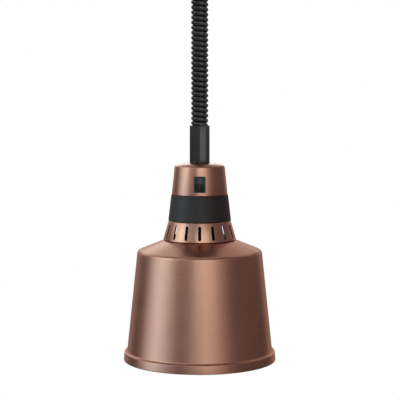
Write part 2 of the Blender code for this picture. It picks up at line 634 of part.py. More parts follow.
# ============================================================ ceiling fitting
plate = turned("ceiling_plate", [
    (0.0, HANG), (PLATE_R, HANG), (PLATE_R, HANG - 10.0), (PLATE_R - PLATE_T, HANG - 10.0),
    (PLATE_R - PLATE_T, HANG - PLATE_T), (0.0, HANG - PLATE_T)], STEEL, steps=32, closed=False)
GROMMET_AT = (-22.0, 26.0)
SCREW_H = HANG - 5.5
plate_cuts = [rod("h", 2.6, (0, y, HANG - 4), (0, y, HANG + 4), to=cutters, sides=16)
              for y in (-42.0, 42.0)]
plate_cuts.append(rod("h", 7.0, (*GROMMET_AT, HANG - 4), (*GROMMET_AT, HANG + 4), to=cutters, sides=20))
cup_cuts = []
for i, angle in enumerate((30.0, 150.0, 270.0)):
    cx, cy = polar(1.0, angle)
    plate_cuts.append(rod("h", 1.9, (cx * 52, cy * 52, SCREW_H), (cx * 59.9, cy * 59.9, SCREW_H),
                          to=cutters, sides=10))
    cup_cuts.append(rod("h", 1.9, (cx * 59.6, cy * 59.6, SCREW_H), (cx * 66, cy * 66, SCREW_H),
                        to=cutters, sides=10))
    screw_fastener("canopy_screw_%d" % (i + 1), (cx * 62.0, cy * 62.0, SCREW_H), (-cx, -cy, 0),
                   3.2, 2.1, 1.6, 8.0)
cut(plate, merged("plate_holes", plate_cuts))
grommet = turned("supply_grommet", [
    (6.7, HANG - 0.3), (6.7, HANG - PLATE_T - 0.35), (9.4, HANG - PLATE_T - 0.35),
    (9.4, HANG - 3.6), (4.6, HANG - 3.6), (4.6, HANG - 0.3)], RUBBER, steps=20,
    centre=(GROMMET_AT[0], GROMMET_AT[1], 0))
cup = turned("canopy_cup", rounded([
    (CUP_TOP_R - 1.2, HANG - 0.4), (CUP_TOP_R, HANG - 0.4, 0.0),
    (CUP_LOW_R, CUP_LOW_H, 6.0), (SPIGOT_R + 0.25, CUP_LOW_H),
    (SPIGOT_R + 0.25, CUP_LOW_H + 1.2),
    (CUP_LOW_R - 1.1, CUP_LOW_H + 1.2, 4.8)], segments=3), COPPER, steps=36)
cut(cup, merged("cup_holes", cup_cuts))

upper = turned("upper_sleeve", [
    (0.0, 479.5), (SPIGOT_BORE_R, 479.5), (SPIGOT_BORE_R, 491.5), (SPIGOT_R, 491.5),
    (SPIGOT_R, UPPER_SLEEVE_HIGH), (SLEEVE_R - 0.3, UPPER_SLEEVE_HIGH),
    (SLEEVE_R, UPPER_SLEEVE_HIGH - 0.3), (SLEEVE_R, UPPER_SLEEVE_LOW + 0.5),
    (SLEEVE_R - 0.5, UPPER_SLEEVE_LOW), (SLEEVE_BORE_R + 0.35, UPPER_SLEEVE_LOW),
    (SLEEVE_BORE_R, UPPER_SLEEVE_LOW + 0.4), (SLEEVE_BORE_R, 476.0), (0.0, 476.0)],
    BLACK, steps=24, closed=False)
cut(upper, merged("upper_sleeve_holes", [
    rod("h", 3.35, (CORD_X, 0, 470), (CORD_X, 0, 484), to=cutters, sides=16),
    rod("h", 1.85, (0, 0, 470), (0, 0, 484), to=cutters, sides=10)]))
turned("wire_eyelet", [(1.65, 481.0), (1.65, 475.4), (1.05, 475.4), (1.05, 481.0)], NYLON, steps=16)
upper_nut = turned("upper_sleeve_nut", [(14.2, 487.8), (14.2, 483.5), (SPIGOT_R + 0.15, 483.5),
                                        (SPIGOT_R + 0.15, 487.8)], STEEL, steps=6)
cut(upper_nut, rod("upper_nut_bore", SPIGOT_R + 0.2, (0, 0, 480), (0, 0, 492), to=cutters, sides=32))

# The cord's upper tail turns over to the terminal block.
tail = [(CORD_X, 0, 473.7), (CORD_X, 0, 478.0), (CORD_X, 0, 483.0), (CORD_X, 0, 488.0)]
for k in range(1, 7):
    t = math.radians(10 * k)
    tail.append((CORD_X - 24.0 * (1 - math.cos(t)), 0, 488.0 + 24.0 * math.sin(t)))
lead("cord_tail_upper", tail, CORD_R, RUBBER, 3, 1)
BLOCK_X, BLOCK_H = -41.0, 537.3
terminal = block("terminal_block", (12.0, 26.0, 11.4), NYLON, bevel=0.8)
terminal.location = (BLOCK_X * MM, 0, level(BLOCK_H))
ways = [rod("h", 1.9, (BLOCK_X - 8, y, 535.5), (BLOCK_X + 8, y, 535.5), to=cutters, sides=10)
        for y in (-8.0, 0.0, 8.0)]
cut(terminal, merged("terminal_ways", ways))
end = tail[-1]
for name, y, look in (("canopy_live_wire", -1.0, BROWN), ("canopy_neutral_wire", 0.0, BLUE),
                      ("canopy_earth_wire", 1.0, GREEN)):
    lead(name, [(end[0] - 0.8, y * 1.9, end[2] + 0.4), (end[0] - 4.0, y * 2.6, end[2] + 3.2),
                (end[0] - 7.5, y * 4.2, end[2] + 11.0), (-28.5, y * 6.6, 531.5),
                (-32.0, y * 7.8, 535.2), (-38.0, y * 8.0, 535.5)], 0.9, look)

# Spring reel on a horizontal shaft along Y.
CENTRE = (REEL_X, 0.0, REEL_H)
cheek = block("reel_bracket", (30.0, 26.0, 36.0), STEEL)
cheek.location = (REEL_X * MM, 0, level(HANG - PLATE_T - GAP - 18.0))
inside = block("bracket_inside", (60.0, 22.8, 36.0), to=cutters)
inside.location = (REEL_X * MM, 0, level(HANG - PLATE_T - GAP - 19.6))
cut(cheek, inside)


def axial(name, radius, y0, y1, look=None, to=None, sides=24):
    return rod(name, radius, (REEL_X, y0, REEL_H), (REEL_X, y1, REEL_H), look, to, sides)


cut(cheek, axial("shaft_holes", SHAFT_R + 0.3, -20, 20, to=cutters, sides=20))
axial("reel_shaft", SHAFT_R, -15.5, 15.5, STEEL, sides=24)
for i, y in enumerate((-14.1, 13.3)):
    turned("shaft_clip_%d" % (i + 1), [(5.6, y + 0.8), (5.6, y), (SHAFT_R + 0.2, y), (SHAFT_R + 0.2, y + 0.8)],
           STEEL, steps=16, axis="Y", centre=CENTRE)
turned("reel_drum", [
    (FLANGE_R, 6.9), (FLANGE_R, 5.5), (DRUM_R, 5.5), (DRUM_R, -5.5), (FLANGE_R, -5.5),
    (FLANGE_R, -6.9), (SHAFT_R + 0.08, -6.9), (SHAFT_R + 0.08, -5.2), (16.2, -5.2), (16.2, 6.9)],
    NYLON, steps=24, axis="Y", centre=CENTRE)
turned("spring_cover", [(19.0, 8.5), (19.0, 7.2), (SHAFT_R + 0.3, 7.2), (SHAFT_R + 0.3, 8.5)],
       STEEL, steps=24, axis="Y", centre=CENTRE)
wound = [(DRUM_R + 0.3, 5.1)]
for k in range(6):
    y = 4.25 - 1.7 * k
    wound += [(DRUM_R + 1.7, y), (DRUM_R + 1.15, y - 0.85)]
wound.append((DRUM_R + 0.3, -5.1))
turned("wound_wire", wound, STEEL, steps=20, axis="Y", centre=CENTRE)
# Clock spring: a strip wound in a spiral, from the shaft out to the drum.
bm = bmesh.new()
turns, per_turn = 5, 14
strip = []
for k in range(turns * per_turn + 1):
    t = 2 * math.pi * k / per_turn
    r = 4.6 + (15.4 - 4.6) * k / (turns * per_turn)
    strip.append((r * math.cos(t), r * math.sin(t)))
low = [bm.verts.new((x * MM, -4.4 * MM, z * MM)) for x, z in strip]
high = [bm.verts.new((x * MM, 6.0 * MM, z * MM)) for x, z in strip]
for a in range(len(strip) - 1):
    bm.faces.new((low[a], low[a + 1], high[a + 1], high[a]))
mesh = bpy.data.meshes.new("main_spring")
bm.to_mesh(mesh)
bm.free()
spring = add_object("main_spring", mesh, STEEL)
spring.location = (REEL_X * MM, 0, level(REEL_H))
strip_t = spring.modifiers.new("strip", "SOLIDIFY")
strip_t.thickness = 0.5 * MM
strip_t.offset = 0.0

# ------------------------------------------------------------------- shading
bpy.context.view_layer.update()
depsgraph = bpy.context.evaluated_depsgraph_get()
for obj in list(parts.objects):
    mesh = bpy.data.meshes.new_from_object(obj.evaluated_get(depsgraph))
    mesh.name = obj.name
    if obj.type == "CURVE":
        bm = bmesh.new()
        bm.from_mesh(mesh)
        bmesh.ops.remove_doubles(bm, verts=bm.verts, dist=0.000005)
        bm.to_mesh(mesh)
        bm.free()
    mesh.shade_smooth()
    mesh.set_sharp_from_angle(angle=math.radians(32))
    name, place = obj.name, obj.matrix_world.copy()
    bpy.data.objects.remove(obj, do_unlink=True)
    solid = bpy.data.objects.new(name, mesh)
    parts.objects.link(solid)
    solid.matrix_world = place
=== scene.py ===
"""Looks for the pull-down heat lamp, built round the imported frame."""
import json
import math

import bmesh
import bpy
import numpy as np
from mathutils import Matrix, Vector

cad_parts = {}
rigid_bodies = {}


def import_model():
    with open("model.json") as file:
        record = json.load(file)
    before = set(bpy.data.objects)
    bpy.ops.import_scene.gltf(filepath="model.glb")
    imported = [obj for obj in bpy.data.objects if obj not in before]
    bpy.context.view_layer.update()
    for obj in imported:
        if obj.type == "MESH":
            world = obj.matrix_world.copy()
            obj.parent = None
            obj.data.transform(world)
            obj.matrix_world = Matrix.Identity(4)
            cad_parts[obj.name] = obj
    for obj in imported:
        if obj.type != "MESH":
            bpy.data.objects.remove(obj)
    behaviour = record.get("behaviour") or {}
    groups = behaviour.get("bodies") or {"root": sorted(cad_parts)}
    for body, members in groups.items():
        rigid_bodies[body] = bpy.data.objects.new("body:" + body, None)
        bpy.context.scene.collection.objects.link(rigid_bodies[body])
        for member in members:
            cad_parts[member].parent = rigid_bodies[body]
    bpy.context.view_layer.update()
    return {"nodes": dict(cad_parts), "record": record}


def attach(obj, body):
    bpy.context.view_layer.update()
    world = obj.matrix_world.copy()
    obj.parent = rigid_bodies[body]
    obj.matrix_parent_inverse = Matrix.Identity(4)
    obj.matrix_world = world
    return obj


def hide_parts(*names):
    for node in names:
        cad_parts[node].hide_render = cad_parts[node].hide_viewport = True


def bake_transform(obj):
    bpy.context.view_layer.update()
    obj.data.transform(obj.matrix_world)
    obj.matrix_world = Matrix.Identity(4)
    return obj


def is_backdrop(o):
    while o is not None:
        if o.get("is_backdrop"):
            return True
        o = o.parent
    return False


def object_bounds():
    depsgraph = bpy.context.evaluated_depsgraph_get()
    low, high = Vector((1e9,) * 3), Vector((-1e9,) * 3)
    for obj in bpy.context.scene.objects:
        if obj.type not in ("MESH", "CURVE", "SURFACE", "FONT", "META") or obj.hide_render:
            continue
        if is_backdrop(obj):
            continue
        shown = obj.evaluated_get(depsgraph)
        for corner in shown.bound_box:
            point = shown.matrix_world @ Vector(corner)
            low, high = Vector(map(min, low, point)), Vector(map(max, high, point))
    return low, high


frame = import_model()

SCENE = bpy.context.scene
NODES = frame["nodes"]
ROOT, HEAD = "ceiling_fitting", "lamp_head"
MM = 0.001
HANG = 545.0


def level(h):
    """Height above the shade's lower edge in mm, as a z in metres."""
    return (h - HANG) * MM


def smooth01(t):
    t = min(1.0, max(0.0, t))
    return t * t * (3 - 2 * t)


# ===================================================================== camera
cam_data = bpy.data.cameras.new("camera")
cam_data.sensor_width = 36.0
cam_data.lens = 117.52
cam_data.clip_start = 0.05
cam_data.clip_end = 200.0
cam = bpy.data.objects.new("camera", cam_data)
SCENE.collection.objects.link(cam)
cam.location = (0.0004, -1.6142, -0.20694)
cam.rotation_euler = (math.radians(90.0 - 4.9), 0.0, 0.0)
SCENE.camera = cam
SCENE.view_settings.view_transform = "Standard"


# ================================================================== materials
class Shader:
    """A Principled material and short ways to add nodes to it."""

    def __init__(self, name, colour, rough, metal=0.0, **fixed):
        self.mat = bpy.data.materials.new(name)
        self.mat.use_nodes = True
        self.tree = self.mat.node_tree
        self.bsdf = self.tree.nodes["Principled BSDF"]
        self.bsdf.inputs["Base Color"].default_value = (*colour, 1.0)
        self.bsdf.inputs["Roughness"].default_value = rough
        self.bsdf.inputs["Metallic"].default_value = metal
        for key, value in fixed.items():
            self.bsdf.inputs[key.replace("_", " ")].default_value = value
        self.colour, self.rough = colour, rough
        self.coord = self.tree.nodes.new("ShaderNodeTexCoord")
        self.mat.diffuse_color = (*colour, 1.0)

    def new(self, kind, **props):
        node = self.tree.nodes.new(kind)
        for key, value in props.items():
            setattr(node, key, value)
        return node

    def link(self, a, b):
        self.tree.links.new(a, b)

    def place(self, scale=(1, 1, 1), turn=(0, 0, 0), shift=(0, 0, 0)):
        m = self.new("ShaderNodeMapping")
        m.inputs["Scale"].default_value = scale
        m.inputs["Rotation"].default_value = turn
        m.inputs["Location"].default_value = shift
        self.link(self.coord.outputs["Object"], m.inputs["Vector"])
        return m.outputs["Vector"]

    def noise(self, scale, detail=3.0, rough=0.55, at=None, warp=0.0):
        t = self.new("ShaderNodeTexNoise")
        t.inputs["Scale"].default_value = scale
        t.inputs["Detail"].default_value = detail
        t.inputs["Roughness"].default_value = rough
        t.inputs["Distortion"].default_value = warp
        self.link(at or self.coord.outputs["Object"], t.inputs["Vector"])
        return t.outputs["Fac"]

    def spread(self, value, low, high, from_low=0.3, from_high=0.7):
        m = self.new("ShaderNodeMapRange")
        m.inputs["From Min"].default_value = from_low
        m.inputs["From Max"].default_value = from_high
        m.inputs["To Min"].default_value = low
        m.inputs["To Max"].default_value = high
        self.link(value, m.inputs["Value"])
        return m.outputs["Result"]

    def math(self, op, a, b):
        m = self.new("ShaderNodeMath", operation=op)
        for socket, value in ((m.inputs[0], a), (m.inputs[1], b)):
            if isinstance(value, (int, float)):
                socket.default_value = value
            else:
                self.link(value, socket)
        return m.outputs[0]

    def tint(self, value, low, high):
        """Colour between two shades by a 0..1 value."""
        m = self.new("ShaderNodeMix", data_type="RGBA")
        m.inputs[6].default_value = (*low, 1.0)
        m.inputs[7].default_value = (*high, 1.0)
        self.link(value, m.inputs[0])
        return m.outputs[2]

    def set_colour(self, socket):
        self.link(socket, self.bsdf.inputs["Base Color"])

    def set_rough(self, socket):
        self.link(socket, self.bsdf.inputs["Roughness"])

    def bump(self, heights):
        """Chain of (height, strength, distance) bumps."""
        last = None
        for height, strength, distance in heights:
            b = self.new("ShaderNodeBump")
            b.inputs["Strength"].default_value = strength
            b.inputs["Distance"].default_value = distance
            self.link(height, b.inputs["Height"])
            if last is not None:
                self.link(last, b.inputs["Normal"])
            last = b.outputs["Normal"]
        self.link(last, self.bsdf.inputs["Normal"])


def shade_of(colour, k):
    return tuple(max(0.0, c * k) for c in colour)


def metal_finish(name, colour, rough, vary=0.05, grain=2400.0, grain_bump=0.12,
                 spun=0.0, cloud=0.05, **fixed):
    """Satin metal: fine grain, faint turning marks round the axis, soft cloudiness."""
    s = Shader(name, colour, rough, 1.0, **fixed)
    fine = s.noise(grain, 3.0, 0.6)
    clouds = s.noise(38.0, 3.0, 0.5, warp=0.3)
    s.set_colour(s.tint(s.spread(clouds, 0.0, 1.0), shade_of(colour, 1 - cloud), shade_of(colour, 1 + cloud)))
    speck = s.noise(700.0, 2.0, 0.6)
    r = s.math("ADD", s.spread(clouds, -vary * 0.5, vary * 0.5), s.spread(speck, rough - vary * 0.5, rough + vary * 0.5))
    bumps = [(fine, grain_bump, 0.00004)]
    if spun:
        rings = s.noise(1.0, 4.0, 0.7, at=s.place((5.0, 5.0, 1100.0)))
        r = s.math("ADD", r, s.spread(rings, -0.015, 0.015))
        bumps.append((rings, spun, 0.00003))
    s.set_rough(r)
    s.bump(bumps)
    return s.mat


def moulded(name, colour, rough, vary=0.08, grain=1800.0, grain_bump=0.2, cloud=0.1, distance=0.00005, **fixed):
    """Moulded or coated non-metal: fine texture, soft change of shine."""
    s = Shader(name, colour, rough, 0.0, **fixed)
    fine = s.noise(grain, 3.0, 0.6)
    clouds = s.noise(55.0, 3.0, 0.5, warp=0.2)
    s.set_colour(s.tint(s.spread(clouds, 0.0, 1.0), shade_of(colour, 1 - cloud), shade_of(colour, 1 + cloud)))
    s.set_rough(s.math("ADD", s.spread(clouds, -vary * 0.5, vary * 0.5), s.spread(fine, rough - vary * 0.3, rough + vary * 0.3)))
    s.bump([(fine, grain_bump, distance)])
    return s.mat


COPPER_RGB = (0.60, 0.31, 0.228)
MATS = {
    "copper_satin": metal_finish("copper_satin_finish", COPPER_RGB, 0.29, 0.03, grain_bump=0.022, spun=0.02, cloud=0.025),
    "copper_light": metal_finish("copper_light_finish", (0.63, 0.345, 0.26), 0.27, 0.05, grain=1900.0, grain_bump=0.06, cloud=0.04),
    "inner_aluminium": metal_finish("inner_aluminium_finish", (0.72, 0.71, 0.69), 0.36, 0.06, spun=0.22, cloud=0.04),
    "black_satin": moulded("black_satin_coat", (0.036, 0.036, 0.038), 0.20, 0.05, 2600.0, 0.05, 0.06),
    "black_plastic": moulded("black_moulding", (0.016, 0.017, 0.019), 0.36, 0.08, 2200.0, 0.16, 0.06),
    "black_rubber": moulded("band_rubber", (0.0245, 0.0225, 0.0220), 0.52, 0.10, 1500.0, 0.30, 0.08),
    "cord_black": moulded("cord_sheath", (0.020, 0.020, 0.021), 0.30, 0.10, 1400.0, 0.12, 0.10),
    "black_steel": moulded("black_coated_steel", (0.012, 0.012, 0.012), 0.55, 0.08, 1500.0, 0.2, 0.08),
    "zinc_steel": metal_finish("zinc_plate", (0.56, 0.57, 0.58), 0.34, 0.12, grain=900.0, grain_bump=0.2, cloud=0.09),
    "spring_steel": metal_finish("spring_steel_finish", (0.40, 0.41, 0.43), 0.30, 0.10, cloud=0.06),
    "nickel_cap": metal_finish("nickel_finish", (0.64, 0.62, 0.58), 0.28, 0.10, cloud=0.08),
    "brass": metal_finish("brass_finish", (0.62, 0.45, 0.20), 0.30, 0.12, cloud=0.12),
    "porcelain": moulded("porcelain_glaze", (0.80, 0.78, 0.73), 0.16, 0.06, 260.0, 0.10, 0.03, Coat_Weight=0.5),
    "nylon_white": moulded("nylon", (0.75, 0.74, 0.69), 0.46, 0.08, 1500.0, 0.15, 0.03),
    "lead_brown": moulded("brown_insulation", (0.17, 0.07, 0.03), 0.42, 0.08, 1500.0, 0.12, 0.06),
    "lead_blue": moulded("blue_insulation", (0.03, 0.11, 0.38), 0.42, 0.08, 1500.0, 0.12, 0.06),
}


def striped_lead():
    """Green insulation with two yellow stripes along it."""
    s = Shader("green_yellow_insulation", (0.12, 0.36, 0.05), 0.42)
    wave = s.new("ShaderNodeTexWave", wave_type="BANDS", bands_direction="DIAGONAL")
    wave.inputs["Scale"].default_value = 260.0
    wave.inputs["Distortion"].default_value = 0.0
    s.link(s.coord.outputs["Object"], wave.inputs["Vector"])
    s.set_colour(s.tint(s.spread(wave.outputs["Fac"], 0.0, 1.0, 0.45, 0.55), (0.10, 0.33, 0.04), (0.78, 0.62, 0.05)))
    fine = s.noise(1500.0)
    s.set_rough(s.spread(fine, 0.38, 0.48))
    s.bump([(fine, 0.12, 0.00004)])
    return s.mat


MATS["lead_green"] = striped_lead()
MATS["bulb_silver"] = metal_finish("bulb_silvering", (0.74, 0.74, 0.75), 0.22, 0.05, grain=160.0, grain_bump=0.10, cloud=0.03)
MATS["bulb_frost"] = moulded("bulb_frosted_face", (0.80, 0.79, 0.77), 0.40, 0.08, 900.0, 0.12, 0.03, Coat_Weight=0.25)
MATS["bulb_glass"] = MATS["bulb_frost"]
MATS["mark_paint"] = moulded("mark_paint", (0.20, 0.19, 0.15), 0.5, 0.05, 2500.0, 0.1, 0.05)


# ============================================================= shape builders
def finish_mesh(obj, angle=32.0):
    obj.data.shade_smooth()
    obj.data.set_sharp_from_angle(angle=math.radians(angle))
    return obj


def add(name, mesh, *mats):
    obj = bpy.data.objects.new(name, mesh)
    SCENE.collection.objects.link(obj)
    for m in mats:
        mesh.materials.append(m)
    return obj


def rounded(corners, segments=8):
    """Open polyline of (r, h) with each corner (r, h, radius) filleted."""
    out = []
    for i, c in enumerate(corners):
        p = Vector((c[0], c[1]))
        radius = c[2] if len(c) > 2 else 0.0
        if radius <= 0.0 or i in (0, len(corners) - 1):
            out.append((p.x, p.y))
            continue
        a = (Vector(corners[i - 1][:2]) - p).normalized()
        b = (Vector(corners[i + 1][:2]) - p).normalized()
        half = a.angle(b) / 2.0
        reach = radius / math.tan(half)
        centre = p + (a + b).normalized() * (radius / math.sin(half))
        start, end = p + a * reach - centre, p + b * reach - centre
        ang0 = math.atan2(start.y, start.x)
        turn = math.atan2(end.y, end.x) - ang0
        turn = (turn + math.pi) % (2 * math.pi) - math.pi
        for k in range(segments + 1):
            t = ang0 + turn * k / segments
            out.append((centre.x + radius * math.cos(t), centre.y + radius * math.sin(t)))
    return out


def turned(name, profile, mats, segments=192, closed=True, split=None, angle=32.0):
    """Lathe a profile (r, h in mm) that runs down its outer side; split(r, h) gives
    the material index of the face below each profile point."""
    bm = bmesh.new()
    n = len(profile)
    rings = []
    for r, h in profile:
        if r < 1e-6:
            rings.append([bm.verts.new((0, 0, level(h)))])
        else:
            rings.append([bm.verts.new((r * MM * math.cos(2 * math.pi * k / segments),
                                        r * MM * math.sin(2 * math.pi * k / segments), level(h)))
                          for k in range(segments)])
    last = n if closed else n - 1
    for i in range(last):
        a, b = rings[i], rings[(i + 1) % n]
        index = split(i, profile) if split else 0
        for k in range(segments):
            k2 = (k + 1) % segments
            if len(a) == 1 and len(b) == 1:
                continue
            if len(a) == 1:
                face = bm.faces.new((a[0], b[k], b[k2]))
            elif len(b) == 1:
                face = bm.faces.new((a[k], b[0], a[k2]))
            else:
                face = bm.faces.new((a[k], b[k], b[k2], a[k2]))
            face.material_index = index
    bmesh.ops.recalc_face_normals(bm, faces=bm.faces)
    mesh = bpy.data.meshes.new(name)
    bm.to_mesh(mesh)
    bm.free()
    obj = add(name, mesh, *mats)
    return finish_mesh(obj, angle)


def rod(name, radius, start, end, sides=48):
    a = Vector((start[0] * MM, start[1] * MM, level(start[2])))
    b = Vector((end[0] * MM, end[1] * MM, level(end[2])))
    bm = bmesh.new()
    bmesh.ops.create_cone(bm, cap_ends=True, segments=sides, radius1=radius * MM, radius2=radius * MM,
                          depth=(b - a).length)
    bm.transform(Matrix.Translation((a + b) / 2) @ (b - a).to_track_quat("Z", "Y").to_matrix().to_4x4())
    mesh = bpy.data.meshes.new(name)
    bm.to_mesh(mesh)
    bm.free()
    return add(name, mesh)


def joined(name, pieces):
    bm = bmesh.new()
    for p in pieces:
        p.data.transform(p.matrix_world)
        bm.from_mesh(p.data)
        bpy.data.objects.remove(p, do_unlink=True)
    mesh = bpy.data.meshes.new(name)
    bm.to_mesh(mesh)
    bm.free()
    return add(name, mesh)


def carve(obj, cutter, operation="DIFFERENCE", angle=32.0):
    """Boolean, applied at once; the cutter goes."""
    mod = obj.modifiers.new("carve", "BOOLEAN")
    mod.operation = operation
    mod.solver = "EXACT"
    mod.object = cutter
    bpy.context.view_layer.update()
    done = bpy.data.meshes.new_from_object(obj.evaluated_get(bpy.context.evaluated_depsgraph_get()))
    obj.modifiers.clear()
    obj.data = done
    bpy.data.objects.remove(cutter, do_unlink=True)
    return finish_mesh(obj, angle)


def bevel_edges(obj, width, angle=40.0, segments=2, sharp=32.0):
    mod = obj.modifiers.new("edges", "BEVEL")
    mod.width = width * MM
    mod.segments = segments
    mod.limit_method = "ANGLE"
    mod.angle_limit = math.radians(angle)
    mod.use_clamp_overlap = True
    bpy.context.view_layer.update()
    done = bpy.data.meshes.new_from_object(obj.evaluated_get(bpy.context.evaluated_depsgraph_get()))
    obj.modifiers.clear()
    obj.data = done
    return finish_mesh(obj, sharp)


def stands_for(obj, body, slot, *nodes):
    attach(obj, body)
    if nodes:
        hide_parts(*nodes)
    return obj


# ====================================================================== cords
CORD_R = 3.02
COIL_R = 7.62
PITCH = 6.165
CREST_H = 295.0
A0, TURNS = 5, 33
CORD_X = -5.6
PER_TURN = 28


def coil_line():
    """Centreline of the coiled cord from its lower end up, in mm, with the turn count at each point."""
    pts, at = [], []
    for k in range(12):
        pts.append((CORD_X, 0.0, 221.2 + (250.2 - 221.2) * k / 12))
        at.append(-1.0)
    n = TURNS * PER_TURN
    for k in range(n + 1):
        a = k / PER_TURN
        psi = math.pi - 2 * math.pi * a
        edge = min(a, TURNS - a)
        r = 5.6 + (COIL_R - 5.6) * smooth01(edge / 1.3)
        h = CREST_H + PITCH * (a - A0)
        if a < 1.5:
            h -= 14.0 * (1 - a / 1.5) ** 3
        if a > TURNS - 1.5:
            h += 10.0 * (1 - (TURNS - a) / 1.5) ** 3
        pts.append((r * math.cos(psi), r * math.sin(psi), h))
        at.append(a)
    top = pts[-1][2]
    for k in range(1, 7):
        pts.append((CORD_X, 0.0, top + (488.0 - top) * k / 6))
        at.append(TURNS + 1.0)
    for k in range(1, 13):
        t = math.radians(5 * k)
        pts.append((CORD_X - 24.0 * (1 - math.cos(t)), 0.0, 488.0 + 24.0 * math.sin(t)))
        at.append(TURNS + 1.0)
    p = np.array(pts)
    at = np.array(at)
    # ease the two places where the straight ends turn into the coil
    for _ in range(30):
        q = p.copy()
        q[1:-1] = 0.25 * p[:-2] + 0.5 * p[1:-1] + 0.25 * p[2:]
        w = np.zeros(len(p))
        for centre in (12, 12 + n):
            w = np.maximum(w, np.clip(1 - np.abs(np.arange(len(p)) - centre) / 9.0, 0, 1))
        w[0] = w[-1] = 0
        p = p + (q - p) * w[:, None]
    return p, at


def tube_nodes(name, radius, sides, mat, rest_low, length=None, turn=None, pitch=None, coil_r=None):
    """Modifier that makes a round tube on a line of edges. Given a coil's sizes it first lays the
    coil's turns evenly between its ends, and narrows them as they open, as a real curly cord does."""
    ng = bpy.data.node_groups.new(name, "GeometryNodeTree")
    ng.interface.new_socket("Geometry", in_out="INPUT", socket_type="NodeSocketGeometry")
    ng.interface.new_socket("Geometry", in_out="OUTPUT", socket_type="NodeSocketGeometry")
    new, link = ng.nodes.new, ng.links.new

    def calc(op, a, b=None):
        m = new("ShaderNodeMath")
        m.operation = op
        for socket, value in zip(m.inputs, (a, b)):
            if value is None:
                continue
            if isinstance(value, (int, float)):
                socket.default_value = value
            else:
                link(value, socket)
        return m.outputs[0]

    def named(attribute):
        a = new("GeometryNodeInputNamedAttribute")
        a.data_type = "FLOAT"
        a.inputs["Name"].default_value = attribute
        return next(o for o in a.outputs if o.name == "Attribute" and o.enabled)

    source = new("NodeGroupInput").outputs[0]
    spot = new("GeometryNodeInputPosition").outputs[0]
    split = new("ShaderNodeSeparateXYZ")
    link(spot, split.inputs[0])
    geometry = source
    if length:
        stat = new("GeometryNodeAttributeStatistic")
        stat.data_type = "FLOAT"
        stat.domain = "POINT"
        link(source, stat.inputs["Geometry"])
        value_in = next(i for i in stat.inputs if i.name == "Attribute" and i.enabled)
        link(split.outputs[2], value_in)
        low = next(o for o in stat.outputs if o.name == "Min" and o.enabled)
        drop = calc("SUBTRACT", low, rest_low)                     # 0 at rest, negative below
        z = calc("ADD", named("rest_z"), calc("MULTIPLY", drop, named("share")))
        opened = calc("MULTIPLY", calc("SUBTRACT", 1.0, calc("DIVIDE", drop, length)), pitch)
        around = calc("SQRT", calc("MAXIMUM", calc("SUBTRACT", turn * turn, calc("MULTIPLY", opened, opened)), 1e-6))
        k = calc("DIVIDE", around, 2 * math.pi * coil_r)
        factor = calc("ADD", 1.0, calc("MULTIPLY", named("free"), calc("SUBTRACT", k, 1.0)))
        join = new("ShaderNodeCombineXYZ")
        link(calc("MULTIPLY", split.outputs[0], factor), join.inputs[0])
        link(calc("MULTIPLY", split.outputs[1], factor), join.inputs[1])
        link(z, join.inputs[2])
        put = new("GeometryNodeSetPosition")
        link(source, put.inputs["Geometry"])
        link(join.outputs[0], put.inputs["Position"])
        geometry = put.outputs[0]
    to_curve = new("GeometryNodeMeshToCurve")
    link(geometry, to_curve.inputs[0])
    ring = new("GeometryNodeCurvePrimitiveCircle")
    ring.mode = "RADIUS"
    ring.inputs["Resolution"].default_value = sides
    ring.inputs["Radius"].default_value = radius
    tube = new("GeometryNodeCurveToMesh")
    link(to_curve.outputs[0], tube.inputs["Curve"])
    link(ring.outputs[0], tube.inputs["Profile Curve"])
    tube.inputs["Fill Caps"].default_value = True
    soft = new("GeometryNodeSetShadeSmooth")
    link(tube.outputs[0], soft.inputs["Geometry"])
    paint = new("GeometryNodeSetMaterial")
    paint.inputs["Material"].default_value = mat
    link(soft.outputs[0], paint.inputs["Geometry"])
    link(paint.outputs[0], new("NodeGroupOutput").inputs[0])
    return ng


def line_object(name, points, mat):
    mesh = bpy.data.meshes.new(name)
    mesh.from_pydata([tuple(p) for p in points], [(i, i + 1) for i in range(len(points) - 1)], [])
    return add(name, mesh, mat)


line_mm, turn_at = coil_line()
line = np.column_stack([line_mm[:, 0] * MM, line_mm[:, 1] * MM, (line_mm[:, 2] - HANG) * MM])
cord = line_object("curly_cord", line, MATS["cord_black"])
LOW_A, HIGH_A = 1.0, TURNS - 1.0
share = np.clip((HIGH_A - turn_at) / (HIGH_A - LOW_A), 0.0, 1.0)
free = np.array([smooth01((min(a - LOW_A, HIGH_A - a)) / 1.5) if 0 <= a <= TURNS else 0.0 for a in turn_at])
for key, values in (("share", share), ("free", free), ("rest_z", line[:, 2])):
    attr = cord.data.attributes.new(key, "FLOAT", "POINT")
    attr.data.foreach_set("value", values.astype(np.float32))
turn_length = math.hypot(2 * math.pi * COIL_R, PITCH) * MM
tube = cord.modifiers.new("tube", "NODES")
tube.node_group = tube_nodes("cord_tube", CORD_R * MM, 16, MATS["cord_black"], float(np.float32(line[0, 2])),
                             length=PITCH * (HIGH_A - LOW_A) * MM, turn=turn_length, pitch=PITCH * MM,
                             coil_r=COIL_R * MM)
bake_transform(cord)
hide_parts("coiled_cord", "cord_tail_lower", "cord_tail_upper")

